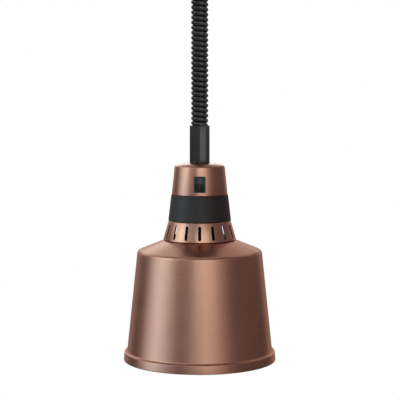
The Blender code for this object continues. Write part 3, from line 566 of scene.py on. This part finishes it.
rope_line = [(0.0, 0.0, level(244.2 + (506.2 - 244.2) * k / 60)) for k in range(61)]
rope_mat = Shader("steel_rope", (0.42, 0.43, 0.45), 0.32, 1.0)
strand_relief_and_shade = rope_mat.new("ShaderNodeTexWave", wave_type="BANDS", bands_direction="DIAGONAL")
strand_relief_and_shade.inputs["Scale"].default_value = 420.0
strand_relief_and_shade.inputs["Distortion"].default_value = 0.4
rope_mat.link(rope_mat.coord.outputs["Object"], strand_relief_and_shade.inputs["Vector"])
rope_mat.set_rough(rope_mat.spread(rope_mat.noise(900.0), 0.26, 0.40))
# painted shade: the grooves between the strands are coloured darker than the crests, on the same bands that give the
# strands' bump
rope_mat.set_colour(rope_mat.tint(strand_relief_and_shade.outputs["Fac"], (0.30, 0.31, 0.33), (0.46, 0.47, 0.49)))
rope_mat.bump([(strand_relief_and_shade.outputs["Fac"], 0.6, 0.0001)])
rope = line_object("steel_wire", rope_line, rope_mat.mat)
rope_tube = rope.modifiers.new("tube", "NODES")
rope_tube.node_group = tube_nodes("rope_tube", 0.73 * MM, 14, rope_mat.mat, 0.0)
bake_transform(rope)
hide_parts("suspension_wire")

# ====================================================================== shade
SIDE_R, SIDE_H, SIDE_SLOPE = 77.71, 133.53, 0.10594
SHOULDER_R, SHOULDER_H, SHOULDER_SLOPE = 45.6, 149.8, 0.408
SHADE_T, NECK_R = 1.5, 39.3


def side_radius(h):
    return SIDE_R + (SIDE_H - h) * SIDE_SLOPE


def shoulder_height(r):
    return SHOULDER_H - (r - SHOULDER_R) * SHOULDER_SLOPE


def corner(inward, drop):
    k = SHOULDER_H + SHOULDER_R * SHOULDER_SLOPE - drop
    base = SIDE_R - inward + SIDE_H * SIDE_SLOPE
    h = (k - SHOULDER_SLOPE * base) / (1 - SHOULDER_SLOPE * SIDE_SLOPE)
    return SIDE_R - inward + (SIDE_H - h) * SIDE_SLOPE, h


shoulder_drop = SHADE_T / math.cos(math.atan(SHOULDER_SLOPE))
oc, ic = corner(0.0, 0.0), corner(SHADE_T, shoulder_drop)
outer_run = [
    (NECK_R, shoulder_height(NECK_R)),
    (oc[0], oc[1], 5.5),
    (side_radius(11.0), 11.0, 2.75),
    (93.95, 11.0, 0.8),
    (95.0, 0.0, 0.85),
    (92.9, 0.0, 0.4),
]
inner_run = [
    (91.95, 8.7, 0.6),
    (side_radius(11.0) - SHADE_T, 9.2, 0.8),
    (ic[0], ic[1], 4.0),
    (NECK_R, shoulder_height(NECK_R) - shoulder_drop),
]
shade_profile = rounded(outer_run + inner_run, 8)


def inside_index(i, profile):
    r, h = profile[i]
    r2, h2 = profile[(i + 1) % len(profile)]
    return 1 if (i > len(profile) * 0.5 and (h > 0.5) and r < 93.2) else 0


shade = turned("shade_spun", shade_profile, [MATS["copper_satin"], MATS["inner_aluminium"]], 256,
               split=lambda i, p: 0)
# the faces of the inner wall look inwards: the bare aluminium side
for poly in shade.data.polygons:
    c = poly.center
    radial = Vector((c.x, c.y, 0)).normalized()
    h = c.z / MM + HANG
    facing_in = poly.normal.dot(radial) < -0.35 or (h > 120 and poly.normal.z < -0.5)
    if facing_in and h < shoulder_height(Vector((c.x, c.y)).length / MM) - 0.7 and not (9.9 < h < 12.5 and Vector((c.x, c.y)).length > 0.0905):
        poly.material_index = 1
stands_for(shade, HEAD, "copper_satin", "shade")

# ================================================================== vent ring
VENT_SLOTS, SLOT_W = 16, 3.7
SLOT_LOW, SLOT_HIGH = 153.4, 170.6
vent_profile = rounded([
    (32.1, 210.5), (32.1, 206.4), (33.25, 206.4, 0.3), (37.0, 174.6), (38.35, 174.35, 0.1),
    (38.7, 173.9, 0.35), (45.5, 150.3, 0.7), (39.0, shoulder_height(39.0) + 0.4), (38.85, 145.0, 0.3),
    (36.8, 145.0, 0.3), (36.8, 153.9), (42.3, 153.9, 0.6), (36.5, 173.2, 0.6), (34.9, 175.4), (31.6, 203.6, 0.4),
    (20.0, 203.6), (20.0, 206.4), (30.2, 206.4), (30.2, 210.5)], 5)
vent = turned("vent_ring_cast", vent_profile, [MATS["copper_light"]], 192)
cutters = []
for i in range(VENT_SLOTS):
    angle = -math.pi / 2 + 2 * math.pi * i / VENT_SLOTS
    half = SLOT_W / 2
    ring = []
    for centre_h, first in ((SLOT_HIGH - half, 0), (SLOT_LOW + half, 180)):
        for k in range(13):
            t = math.radians(first + 15 * k)
            ring.append((half * math.cos(t), centre_h + half * math.sin(t)))
    bm = bmesh.new()
    face = bm.faces.new([bm.verts.new((34.0 * MM, y * MM, level(h))) for y, h in ring])
    grown = bmesh.ops.extrude_face_region(bm, geom=[face])
    bmesh.ops.translate(bm, vec=(15.0 * MM, 0, 0), verts=[v for v in grown["geom"] if isinstance(v, bmesh.types.BMVert)])
    bmesh.ops.recalc_face_normals(bm, faces=bm.faces)
    bm.transform(Matrix.Rotation(angle, 4, "Z"))
    mesh = bpy.data.meshes.new("slot")
    bm.to_mesh(mesh)
    bm.free()
    cutters.append(add("slot", mesh))
for angle in (90.0, 210.0, 330.0):
    t = math.radians(angle)
    x, y = 26.0 * math.cos(t), 26.0 * math.sin(t)
    cutters.append(rod("flange_hole", 1.8, (x, y, 202.0), (x, y, 208.0), 24))
carve(vent, joined("vent_cuts", cutters))
stands_for(vent, HEAD, "copper_light", "vent_ring")

# ================================================================== grip band
band_profile = rounded([
    (34.75, 206.65), (35.3, 206.0, 0.35), (38.9, 175.2, 0.45), (38.55, 174.75, 0.2),
    (37.3, 174.75), (33.55, 206.65)], 5)
band = turned("grip_band_rubber", band_profile, [MATS["black_rubber"]], 192)
stands_for(band, HEAD, "black_rubber", "grip_band")

# ======================================================================== cap
CAP_LOW_R, CAP_LOW_H = 34.6, 207.0
CAP_TOP_R, CAP_TOP_H = 31.05, 242.3
SPIGOT_R = 10.2
cap_profile = rounded([
    (SPIGOT_R + 0.25, 245.45), (13.0, 245.45), (26.2, 245.35, 6.0), (CAP_TOP_R, CAP_TOP_H, 3.2),
    (CAP_LOW_R, CAP_LOW_H, 0.6), (CAP_LOW_R - 1.8, CAP_LOW_H, 0.4), (CAP_TOP_R - 1.8, CAP_TOP_H - 1.7, 2.4),
    (24.6, 243.6), (13.5, 243.9), (SPIGOT_R + 0.25, 243.9)], 10)
cap = turned("cap_spun", cap_profile, [MATS["copper_satin"]], 192)
bosses = []
for angle in (90.0, 210.0, 330.0):
    t = math.radians(angle)
    x, y = 26.0 * math.cos(t), 26.0 * math.sin(t)
    bosses.append(rod("boss", 3.3, (x, y, 206.75), (x, y, 242.2), 32))
carve(cap, joined("bosses", bosses), "UNION")
wall_slope = (CAP_LOW_R - CAP_TOP_R) / (CAP_TOP_H - CAP_LOW_H)
lean = math.atan(wall_slope)
SWITCH_H = 221.1
face_r = CAP_LOW_R - (SWITCH_H - CAP_LOW_H) * wall_slope
n_dir = Vector((0.0, -math.cos(lean), math.sin(lean)))
s_dir = Vector((0.0, math.sin(lean), math.cos(lean)))
u_dir = s_dir.cross(n_dir)
at = Vector((0.0, -face_r * MM, level(SWITCH_H)))
SWITCH = Matrix(((u_dir.x, s_dir.x, n_dir.x, at.x), (u_dir.y, s_dir.y, n_dir.y, at.y),
                 (u_dir.z, s_dir.z, n_dir.z, at.z), (0, 0, 0, 1)))


def slab(name, size, centre=(0, 0, 0), radius=0.0, segments=4, mats=(), tilt=0.0):
    """Block in the switch's own axes, its upright edges rounded by radius."""
    bm = bmesh.new()
    bmesh.ops.create_cube(bm, size=1.0)
    bmesh.ops.scale(bm, vec=[s * MM for s in size], verts=bm.verts)
    if radius:
        upright = [e for e in bm.edges if abs((e.verts[0].co - e.verts[1].co).normalized().z) > 0.9]
        bmesh.ops.bevel(bm, geom=upright, offset=radius * MM, segments=segments, profile=0.5, affect="EDGES")
    bm.transform(SWITCH @ Matrix.Translation([c * MM for c in centre]) @ Matrix.Rotation(math.radians(tilt), 4, "X"))
    mesh = bpy.data.meshes.new(name)
    bm.to_mesh(mesh)
    bm.free()
    return add(name, mesh, *mats)


holes = []
for i in range(12):
    t = math.radians(-90 + 360 * (i + 0.5) / 12)
    x, y = 20.0 * math.cos(t), 20.0 * math.sin(t)
    holes.append(rod("vent", 2.1, (x, y, 238.0), (x, y, 250.0), 24))
for angle in (90.0, 210.0, 330.0):
    t = math.radians(angle)
    x, y = 26.0 * math.cos(t), 26.0 * math.sin(t)
    holes.append(rod("tap", 1.65, (x, y, 204.0), (x, y, 217.0), 20))
carve(cap, joined("cap_holes", holes))
carve(cap, slab("switch_opening", (13.2, 19.0, 12.0)))
stands_for(cap, HEAD, "copper_satin", "cap_housing")

# ===================================================================== switch
PROUD = 1.3
bezel = slab("switch_frame", (14.4, 19.9, 3.4), (0, 0, PROUD - 1.7), 0.8, 5, [MATS["black_plastic"]])
wall = turned("cap_outside", [(0, 260.0), (CAP_LOW_R + 0.3 - (260.0 - CAP_LOW_H) * wall_slope, 260.0),
                              (CAP_LOW_R + 0.3 + 12.0 * wall_slope, CAP_LOW_H - 12.0), (0, CAP_LOW_H - 12.0)],
              [], 256, closed=False)
carve(bezel, wall)
carve(bezel, slab("core", (12.6, 18.4, 15.9), (0, 0, 0.9 - 7.95)), "UNION")
carve(bezel, slab("pocket", (10.9, 16.9, 16.4), (0, 0, PROUD), 0.3, 3))
bevel_edges(bezel, 0.22, 50.0, 3)
stands_for(bezel, HEAD, "black_plastic", "switch_body")

ROCKER_W, ROCKER_HALF, ROCKER_PIVOT, ROCKER_TILT = 10.4, 7.7, 1.5, 12.0
reach_n = ROCKER_HALF * math.tan(math.radians(ROCKER_TILT)) + 0.1 + ROCKER_PIVOT
end_r = math.hypot(ROCKER_HALF, reach_n)
outline = []
start_angle, stop_angle = math.atan2(reach_n, ROCKER_HALF), -math.asin(4.2 / end_r)
for k in range(11):
    s = -ROCKER_HALF + 2 * ROCKER_HALF * k / 10
    flat = abs(s) * math.tan(math.radians(ROCKER_TILT)) + 0.1 + ROCKER_PIVOT
    dip = 0.10 * math.sin(math.pi * min(1.0, abs(s) / ROCKER_HALF))
    outline.append((s, flat - dip))
outline = outline[::-1]
right = [(end_r * math.cos(t), end_r * math.sin(t))
         for t in np.linspace(start_angle, stop_angle, 14)[1:]]
left = [(-x, y) for x, y in reversed(right)]
outline = list(reversed(outline)) + right + left
bm = bmesh.new()
face = bm.faces.new([bm.verts.new((-ROCKER_W / 2 * MM, s * MM, n * MM)) for s, n in outline])
grown = bmesh.ops.extrude_face_region(bm, geom=[face])
bmesh.ops.translate(bm, vec=(ROCKER_W * MM, 0, 0), verts=[v for v in grown["geom"] if isinstance(v, bmesh.types.BMVert)])
bmesh.ops.recalc_face_normals(bm, faces=bm.faces)
PIVOT_N = PROUD - ROCKER_PIVOT
ROCK = SWITCH @ Matrix.Translation((0, 0, PIVOT_N * MM)) @ Matrix.Rotation(math.radians(-ROCKER_TILT), 4, "X")
bm.transform(ROCK)
mesh = bpy.data.meshes.new("rocker_paddle")
bm.to_mesh(mesh)
bm.free()
rocker = add("rocker_paddle", mesh, MATS["black_plastic"])
pin_at = (SWITCH @ Vector((0, 0, PIVOT_N * MM)))
pin = rod("pin", 0.95, (-6.0, pin_at.y / MM, pin_at.z / MM + HANG), (6.0, pin_at.y / MM, pin_at.z / MM + HANG), 24)
carve(rocker, pin, "UNION")
bevel_edges(rocker, 0.28, 35.0, 3)
stands_for(rocker, "rocker", "black_plastic", "switch_rocker")


def on_face(s):
    """Height of the rocker's face above its pivot at s."""
    return (abs(s) * math.tan(math.radians(ROCKER_TILT)) + 0.1 + ROCKER_PIVOT
            - 0.10 * math.sin(math.pi * min(1.0, abs(s) / ROCKER_HALF)))


def mark(name, faces_of):
    bm = bmesh.new()
    faces_of(bm)
    bmesh.ops.recalc_face_normals(bm, faces=bm.faces)
    bm.transform(ROCK)
    mesh = bpy.data.meshes.new(name)
    bm.to_mesh(mesh)
    bm.free()
    obj = add(name, mesh, MATS["mark_paint"])
    finish_mesh(obj)
    return stands_for(obj, "rocker", None)


def ring_mark(bm, s0=4.2, outer=1.75, inner=1.25, steps=40):
    rows = []
    for r, up in ((outer, -0.03), (outer, 0.05), (inner, 0.05), (inner, -0.03)):
        row = []
        for k in range(steps):
            t = 2 * math.pi * k / steps
            s = s0 + r * math.sin(t)
            row.append(bm.verts.new((r * 0.82 * math.cos(t) * MM, s * MM, (on_face(s) + up) * MM)))
        rows.append(row)
    for i in range(4):
        a, b = rows[i], rows[(i + 1) % 4]
        for k in range(steps):
            bm.faces.new((a[k], a[(k + 1) % steps], b[(k + 1) % steps], b[k]))


def bar_mark(bm, s0=-2.6, half=1.5, width=0.26):
    low, high = [], []
    for x, s in ((-width, s0 - half), (width, s0 - half), (width, s0 + half), (-width, s0 + half)):
        low.append(bm.verts.new((x * MM, s * MM, (on_face(s) - 0.03) * MM)))
        high.append(bm.verts.new((x * MM, s * MM, (on_face(s) + 0.05) * MM)))
    bm.faces.new(high)
    bm.faces.new(low[::-1])
    for k in range(4):
        k2 = (k + 1) % 4
        bm.faces.new((low[k], low[k2], high[k2], high[k]))


mark("rocker_mark_ring", ring_mark)
mark("rocker_mark_bar", bar_mark)

# ============================================================== sleeves, cup
SLEEVE_R, BORE_R, SPIGOT_BORE = 12.4, 11.15, 9.0


def sleeve(name, profile, hole_h, wire_hole, body, node):
    obj = turned(name, rounded(profile, 4), [MATS["black_satin"]], 96, closed=False)
    carve(obj, joined("holes", [
        rod("h", 3.35, (CORD_X, 0, hole_h - 6), (CORD_X, 0, hole_h + 6), 32),
        rod("h", wire_hole, (0, 0, hole_h - 6), (0, 0, hole_h + 6), 20)]))
    return stands_for(obj, body, "black_satin", node)


lower_sleeve = sleeve("sleeve_satin", [
    (0.0, 253.5), (BORE_R, 253.5), (BORE_R, 291.2), (BORE_R + 0.35, 291.8, 0.15), (SLEEVE_R, 291.8, 0.55),
    (SLEEVE_R, 245.7, 0.3), (SPIGOT_R, 245.7), (SPIGOT_R, 233.5), (SPIGOT_BORE, 233.5),
    (SPIGOT_BORE, 250.0), (0.0, 250.0)], 251.7, 1.0, HEAD, "sleeve_tube")
upper_sleeve = sleeve("upper_sleeve_satin", [
    (0.0, 479.5), (SPIGOT_BORE, 479.5), (SPIGOT_BORE, 491.5), (SPIGOT_R, 491.5), (SPIGOT_R, 481.7),
    (SLEEVE_R, 481.7, 0.3), (SLEEVE_R, 453.0, 0.55), (BORE_R + 0.35, 453.0, 0.15), (BORE_R, 453.5),
    (BORE_R, 476.0), (0.0, 476.0)], 477.7, 1.85, ROOT, "upper_sleeve")

cup_profile = rounded([
    (60.8, 544.6), (62.0, 544.6), (56.5, 482.0, 6.0), (SPIGOT_R + 0.25, 482.0), (SPIGOT_R + 0.25, 483.2),
    (55.4, 483.2, 4.8)], 8)
cup = turned("canopy_cup_spun", cup_profile, [MATS["copper_satin"]], 192)
cup_holes = []
for angle in (30.0, 150.0, 270.0):
    t = math.radians(angle)
    cx, cy = math.cos(t), math.sin(t)
    cup_holes.append(rod("h", 1.9, (cx * 59.6, cy * 59.6, 539.5), (cx * 66, cy * 66, 539.5), 20))
carve(cup, joined("cup_holes", cup_holes))
stands_for(cup, ROOT, "copper_satin", "canopy_cup")

# ================================================================ bulb, holder
glass_points = [(10.9, 163.6), (12.6, 161.9), (17.4, 149.0), (19.6, 138.0), (25.5, 125.5), (50.5, 93.5),
                (58.8, 78.5), (62.4, 64.0), (61.6, 50.0), (57.0, 37.5), (47.5, 26.0), (33.5, 16.8), (0.0, 9.8)]


def eased(points, per=6):
    """Catmull-Rom through the points, level where it meets the axis."""
    pts = [Vector(p) for p in points]
    ends = [pts[0] * 2 - pts[1]] + pts + [Vector((-pts[-2].x, pts[-2].y))]
    out = []
    for i in range(1, len(ends) - 2):
        p0, p1, p2, p3 = ends[i - 1:i + 3]
        for k in range(per):
            t = k / per
            out.append(0.5 * ((2 * p1) + (p2 - p0) * t + (2 * p0 - 5 * p1 + 4 * p2 - p3) * t * t
                              + (3 * p1 - p0 - 3 * p2 + p3) * t ** 3))
    out.append(pts[-1])
    return [(max(0.0, p.x), p.y) for p in out]


outer = [(10.9, 176.0)] + eased(glass_points)
inner = []
for i, (r, h) in enumerate(outer):
    a = Vector(outer[max(0, i - 1)])
    b = Vector(outer[min(len(outer) - 1, i + 1)])
    d = (b - a).normalized()
    inner.append((max(0.0, r + d.y * 1.05), h - d.x * 1.05) if r > 0 else (0.0, h + 1.05))
SILVER_H = 72.0
bulb = turned("bulb_envelope", outer + inner[::-1], [MATS["bulb_silver"], MATS["bulb_frost"]], 128, closed=True,
              split=lambda i, p: 0)
for poly in bulb.data.polygons:
    if poly.center.z / MM + HANG < SILVER_H:
        poly.material_index = 1
stands_for(bulb, "bulb", "bulb_glass", "bulb_glass")


def screw_shell(name, low, high, radius, depth, pitch, wall_t, mat, steps=96, ends=()):
    """Pressed shell with a rounded screw thread, open at both ends."""
    bm = bmesh.new()
    rows = int((high - low) / pitch * 14)
    grid = []
    for side in (0, 1):
        for j in range(rows + 1):
            jj = j if side == 0 else rows - j
            h = high - (high - low) * jj / rows
            fade = smooth01(min(h - low, high - h) / 1.6)
            ring = []
            for k in range(steps):
                t = 2 * math.pi * k / steps
                wave = math.cos(2 * math.pi * h / pitch + t)
                r = radius - depth / 2 + depth / 2 * wave * fade - side * wall_t
                ring.append(bm.verts.new((r * MM * math.cos(t), r * MM * math.sin(t), level(h))))
            grid.append(ring)
    for i in range(len(grid)):
        a, b = grid[i], grid[(i + 1) % len(grid)]
        for k in range(steps):
            k2 = (k + 1) % steps
            bm.faces.new((a[k], b[k], b[k2], a[k2]))
    bmesh.ops.recalc_face_normals(bm, faces=bm.faces)
    mesh = bpy.data.meshes.new(name)
    bm.to_mesh(mesh)
    bm.free()
    obj = add(name, mesh, mat)
    return finish_mesh(obj, 50)


thread = screw_shell("bulb_screw_shell", 166.4, 182.6, 13.2, 0.85, 3.62, 0.4, MATS["nickel_cap"])
stands_for(thread, "bulb", "nickel_cap")
collar = turned("bulb_cap_skirt", rounded([
    (8.3, 185.0), (12.0, 183.6, 0.8), (12.3, 182.2), (11.9, 182.0), (8.3, 184.0)], 4), [MATS["nickel_cap"]], 96)
skirt = turned("bulb_cap_foot", rounded([
    (12.35, 166.9), (12.5, 166.5, 0.2), (13.3, 165.4, 0.4), (13.3, 162.7), (11.9, 162.7), (11.9, 166.9)], 4),
    [MATS["nickel_cap"]], 96)
stands_for(collar, "bulb", "nickel_cap")
stands_for(skirt, "bulb", "nickel_cap")
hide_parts("bulb_cap")

holder = turned("lampholder_porcelain", rounded([
    (0.0, 201.4), (20.6, 201.4, 1.2), (20.6, 172.0, 2.0), (19.2, 161.0, 1.2), (15.0, 161.0, 0.5),
    (15.0, 189.0), (0.0, 189.0)], 6), [MATS["porcelain"]], 96, closed=False)
wells = [rod("h", 1.7, (x, 0, 192), (x, 0, 205), 20) for x in (-13.0, 13.0)]
wells += [rod("h", 1.5, (x, y, 195), (x, y, 205), 20) for x, y in ((0.8, -5.0), (-4.6, 4.6))]
wells.append(rod("h", 1.8, (8.5, 13.0, 196), (8.5, 13.0, 205), 20))
carve(holder, joined("wells", wells))
stands_for(holder, HEAD, "porcelain", "lampholder_body")

# ================================================ finish of the shown CAD nodes
slots = {row["node"]: row["material_slot"] for row in frame["record"]["subparts"]}
for name, node in NODES.items():
    if node.hide_render:
        continue
    finish = MATS[slots[name]]
    for slot in node.material_slots:
        slot.material = finish
    if not node.material_slots:
        node.data.materials.append(finish)

# ============================================================ light and floor
CENTRE = Vector((0.0, 0.0, -0.42))
BLACKS = ["curly_cord", "sleeve_satin", "upper_sleeve_satin"]


def softbox(name, azimuth, across, low, high, colour, only=None, skip=None, distance=2.2):
    """Soft panel round an azimuth from the camera's side (+ to the right), aimed at the lamp.

    across is its width in degrees as the lamp sees it, and low and high are its edges' elevations."""
    mid, half = math.radians((low + high) / 2), math.radians((high - low) / 2)
    width = 2 * distance * math.tan(math.radians(across / 2)) * math.cos(mid)
    height = 2 * distance * math.tan(half)
    a = math.radians(azimuth)
    back = Vector((math.sin(a) * math.cos(mid), -math.cos(a) * math.cos(mid), math.sin(mid)))
    radiance = max(colour)
    data = bpy.data.lights.new(name, "AREA")
    data.shape = "RECTANGLE"
    data.size, data.size_y = width, height
    data.color = [c / radiance for c in colour]
    data.energy = radiance * math.pi * width * height
    light = bpy.data.objects.new(name, data)
    SCENE.collection.objects.link(light)
    light.location = CENTRE + back * distance
    light.rotation_mode = "QUATERNION"
    light.rotation_quaternion = back.to_track_quat("Z", "Y")
    light.visible_camera = False
    for names, state in ((only, "INCLUDE"), (skip, "EXCLUDE")):
        if names:
            group = light.light_linking.receiver_collection or bpy.data.collections.new(name + "_link")
            light.light_linking.receiver_collection = group
            for k in names:
                group.objects.link(bpy.data.objects[k])
            for item in group.collection_objects:
                item.light_linking.link_state = state
    return light


# Soft wall of light from the left round to the front right, in strips: cool and strong at
# the left, warmer in front, dim between.  The black parts are lit by strips of their own.
for row, across, low, high, strips in (
        ("low", 12, -15, 10, (
            (-96, (0.38, 0.41, 0.42)), (-84, (0.70, 1.03, 1.20)), (-72, (1.00, 1.47, 1.73)),
            (-60, (0.57, 0.84, 1.00)), (-48, (0.31, 0.39, 0.46)), (-36, (0.06, 0.03, 0.04)),
            (-24, (0.05, 0.05, 0.12)), (-12, (0.23, 0.26, 0.26)), (0, (0.39, 0.48, 0.44)),
            (12, (0.67, 0.75, 0.73)), (24, (0.51, 0.49, 0.48)), (36, (0.28, 0.23, 0.21)),
            (48, (0.06, 0.04, 0.03)))),
        ("mid", 20, 10, 20, (
            (-100, (0.59, 0.66, 0.64)), (-80, (1.14, 1.48, 1.30)), (-60, (1.91, 2.33, 2.14)),
            (-40, (0.49, 0.56, 0.47)), (-20, (0.32, 0.35, 0.25)), (0, (1.58, 1.97, 1.98)),
            (20, (1.30, 1.46, 1.30)), (40, (0.35, 0.41, 0.38)))),
        ("high", 25, 20, 34, (
            (-90, (0.87, 0.85, 0.71)), (-65, (0.97, 1.47, 1.72)), (-40, (0.14, 0.24, 0.27)),
            (-15, (0.24, 0.25, 0.27)), (10, (0.66, 0.69, 0.76)), (35, (0.22, 0.22, 0.14)))),
        ("top", 60, 34, 50, (
            (-60, (0.60, 0.70, 0.69)),))):
    for azimuth, colour in strips:
        softbox("wall_%s_%d" % (row, azimuth), azimuth, across, low, high, colour, skip=BLACKS)
for name, azimuth, across, low, high, colour in (
        ("back_left", -156, 48, -15, 20, (0.23, 0.17, 0.15)),
        ("back_left_mid", -150, 60, 20, 34, (0.66, 0.82, 0.83)),
        ("back_left_high", -140, 70, 34, 62, (0.46, 0.54, 0.52)),
        ("back_centre", 180, 40, 10, 34, (0.33, 0.29, 0.24)),
        ("back_right", 156, 44, -15, 20, (0.25, 0.18, 0.12)),
        ("back_right_high", 140, 70, 30, 62, (0.29, 0.26, 0.22))):
    softbox(name, azimuth, across, low, high, colour)
overhead = softbox("overhead", 0, 40, 69, 109, (0.27, 0.28, 0.25))
overhead.data.size = overhead.data.size_y = 1.6
overhead.data.energy = 0.28 * math.pi * 1.6 * 1.6
for name, azimuth, across, low, high, radiance in (
        ("black_strip_a", 15, 18, -15, 12, 1.95), ("black_strip_b", 33, 18, -15, 12, 1.15),
        ("black_strip_c", 50, 16, -15, 12, 1.9), ("black_strip_d", 66, 16, -15, 20, 0.9),
        ("black_strip_e", 20, 22, 12, 20, 0.95),
        ("black_fill_left", -50, 100, -45, 55, 0.20), ("black_fill_right", 50, 100, -45, 55, 0.20)):
    softbox(name, azimuth, across, low, high, (radiance,) * 3, only=BLACKS[1:])
for name, azimuth, across, low, high, radiance in (
        ("cord_left", -62, 60, 12, 58, 1.1), ("cord_front", 26, 62, 14, 58, 1.9),
        ("cord_low", 30, 60, -15, 14, 0.9), ("cord_edge", 100, 30, -15, 30, 0.8)):
    softbox(name, azimuth, across, low, high, (radiance,) * 3, only=BLACKS[:1])
softbox("crown_back", 180, 40, 1, 42, (0.95, 1.25, 1.35), only=["cap_spun"])

world = bpy.data.worlds.new("studio")
SCENE.world = world
world.use_nodes = True
wt = world.node_tree
for n in list(wt.nodes):
    wt.nodes.remove(n)
w_out = wt.nodes.new("ShaderNodeOutputWorld")
w_mix = wt.nodes.new("ShaderNodeMixShader")
w_path = wt.nodes.new("ShaderNodeLightPath")
w_seen = wt.nodes.new("ShaderNodeBackground")
w_seen.inputs[0].default_value = (1, 1, 1, 1)
w_seen.inputs[1].default_value = 1.0
w_room = wt.nodes.new("ShaderNodeBackground")
w_coord = wt.nodes.new("ShaderNodeTexCoord")
w_split = wt.nodes.new("ShaderNodeSeparateXYZ")
wt.links.new(w_coord.outputs["Generated"], w_split.inputs[0])


def world_range(socket, a, b, lo=0.0, hi=1.0):
    m = wt.nodes.new("ShaderNodeMapRange")
    m.interpolation_type = "SMOOTHSTEP"
    m.inputs["From Min"].default_value = a
    m.inputs["From Max"].default_value = b
    m.inputs["To Min"].default_value = lo
    m.inputs["To Max"].default_value = hi
    wt.links.new(socket, m.inputs["Value"])
    return m.outputs["Result"]


def world_math(op, a, b):
    m = wt.nodes.new("ShaderNodeMath")
    m.operation = op
    for s, v in ((m.inputs[0], a), (m.inputs[1], b)):
        if isinstance(v, (int, float)):
            s.default_value = v
        else:
            wt.links.new(v, s)
    return m.outputs[0]


# dim room with the pale backdrop behind, brighter on the left
behind = world_range(w_split.outputs[1], 0.35, 0.85)
lowish = world_range(w_split.outputs[2], 0.52, 0.68, 1.0, 0.0)
sideways = world_range(w_split.outputs[0], -0.15, 0.15, 0.12, 0.06)
glow = world_math("MULTIPLY", world_math("MULTIPLY", behind, lowish), sideways)
w_strength = world_math("ADD", glow, 0.181)
w_room.inputs[0].default_value = (1.00, 0.83, 0.86, 1)
wt.links.new(w_strength, w_room.inputs[1])
wt.links.new(w_path.outputs["Is Camera Ray"], w_mix.inputs[0])
wt.links.new(w_room.outputs[0], w_mix.inputs[1])
wt.links.new(w_seen.outputs[0], w_mix.inputs[2])
wt.links.new(w_mix.outputs[0], w_out.inputs[0])

bm = bmesh.new()
bmesh.ops.create_circle(bm, cap_ends=True, segments=96, radius=60.0)
bm.transform(Matrix.Translation((0, 0, -1.10)))
floor_mesh = bpy.data.meshes.new("floor")
bm.to_mesh(floor_mesh)
bm.free()
floor_mat = bpy.data.materials.new("pale_floor")
floor_mat.use_nodes = True
ft = floor_mat.node_tree
for n in list(ft.nodes):
    ft.nodes.remove(n)
f_out = ft.nodes.new("ShaderNodeOutputMaterial")
f_mix = ft.nodes.new("ShaderNodeMixShader")
f_path = ft.nodes.new("ShaderNodeLightPath")
f_diff = ft.nodes.new("ShaderNodeBsdfDiffuse")
f_diff.inputs[0].default_value = (0.55, 0.54, 0.53, 1)
f_seen = ft.nodes.new("ShaderNodeEmission")
f_seen.inputs[0].default_value = (1, 1, 1, 1)
f_seen.inputs[1].default_value = 1.0
ft.links.new(f_path.outputs["Is Camera Ray"], f_mix.inputs[0])
ft.links.new(f_diff.outputs[0], f_mix.inputs[1])
ft.links.new(f_seen.outputs[0], f_mix.inputs[2])
ft.links.new(f_mix.outputs[0], f_out.inputs[0])
floor = add("floor", floor_mesh, floor_mat)
floor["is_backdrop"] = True

# ========================================================================
low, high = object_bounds()
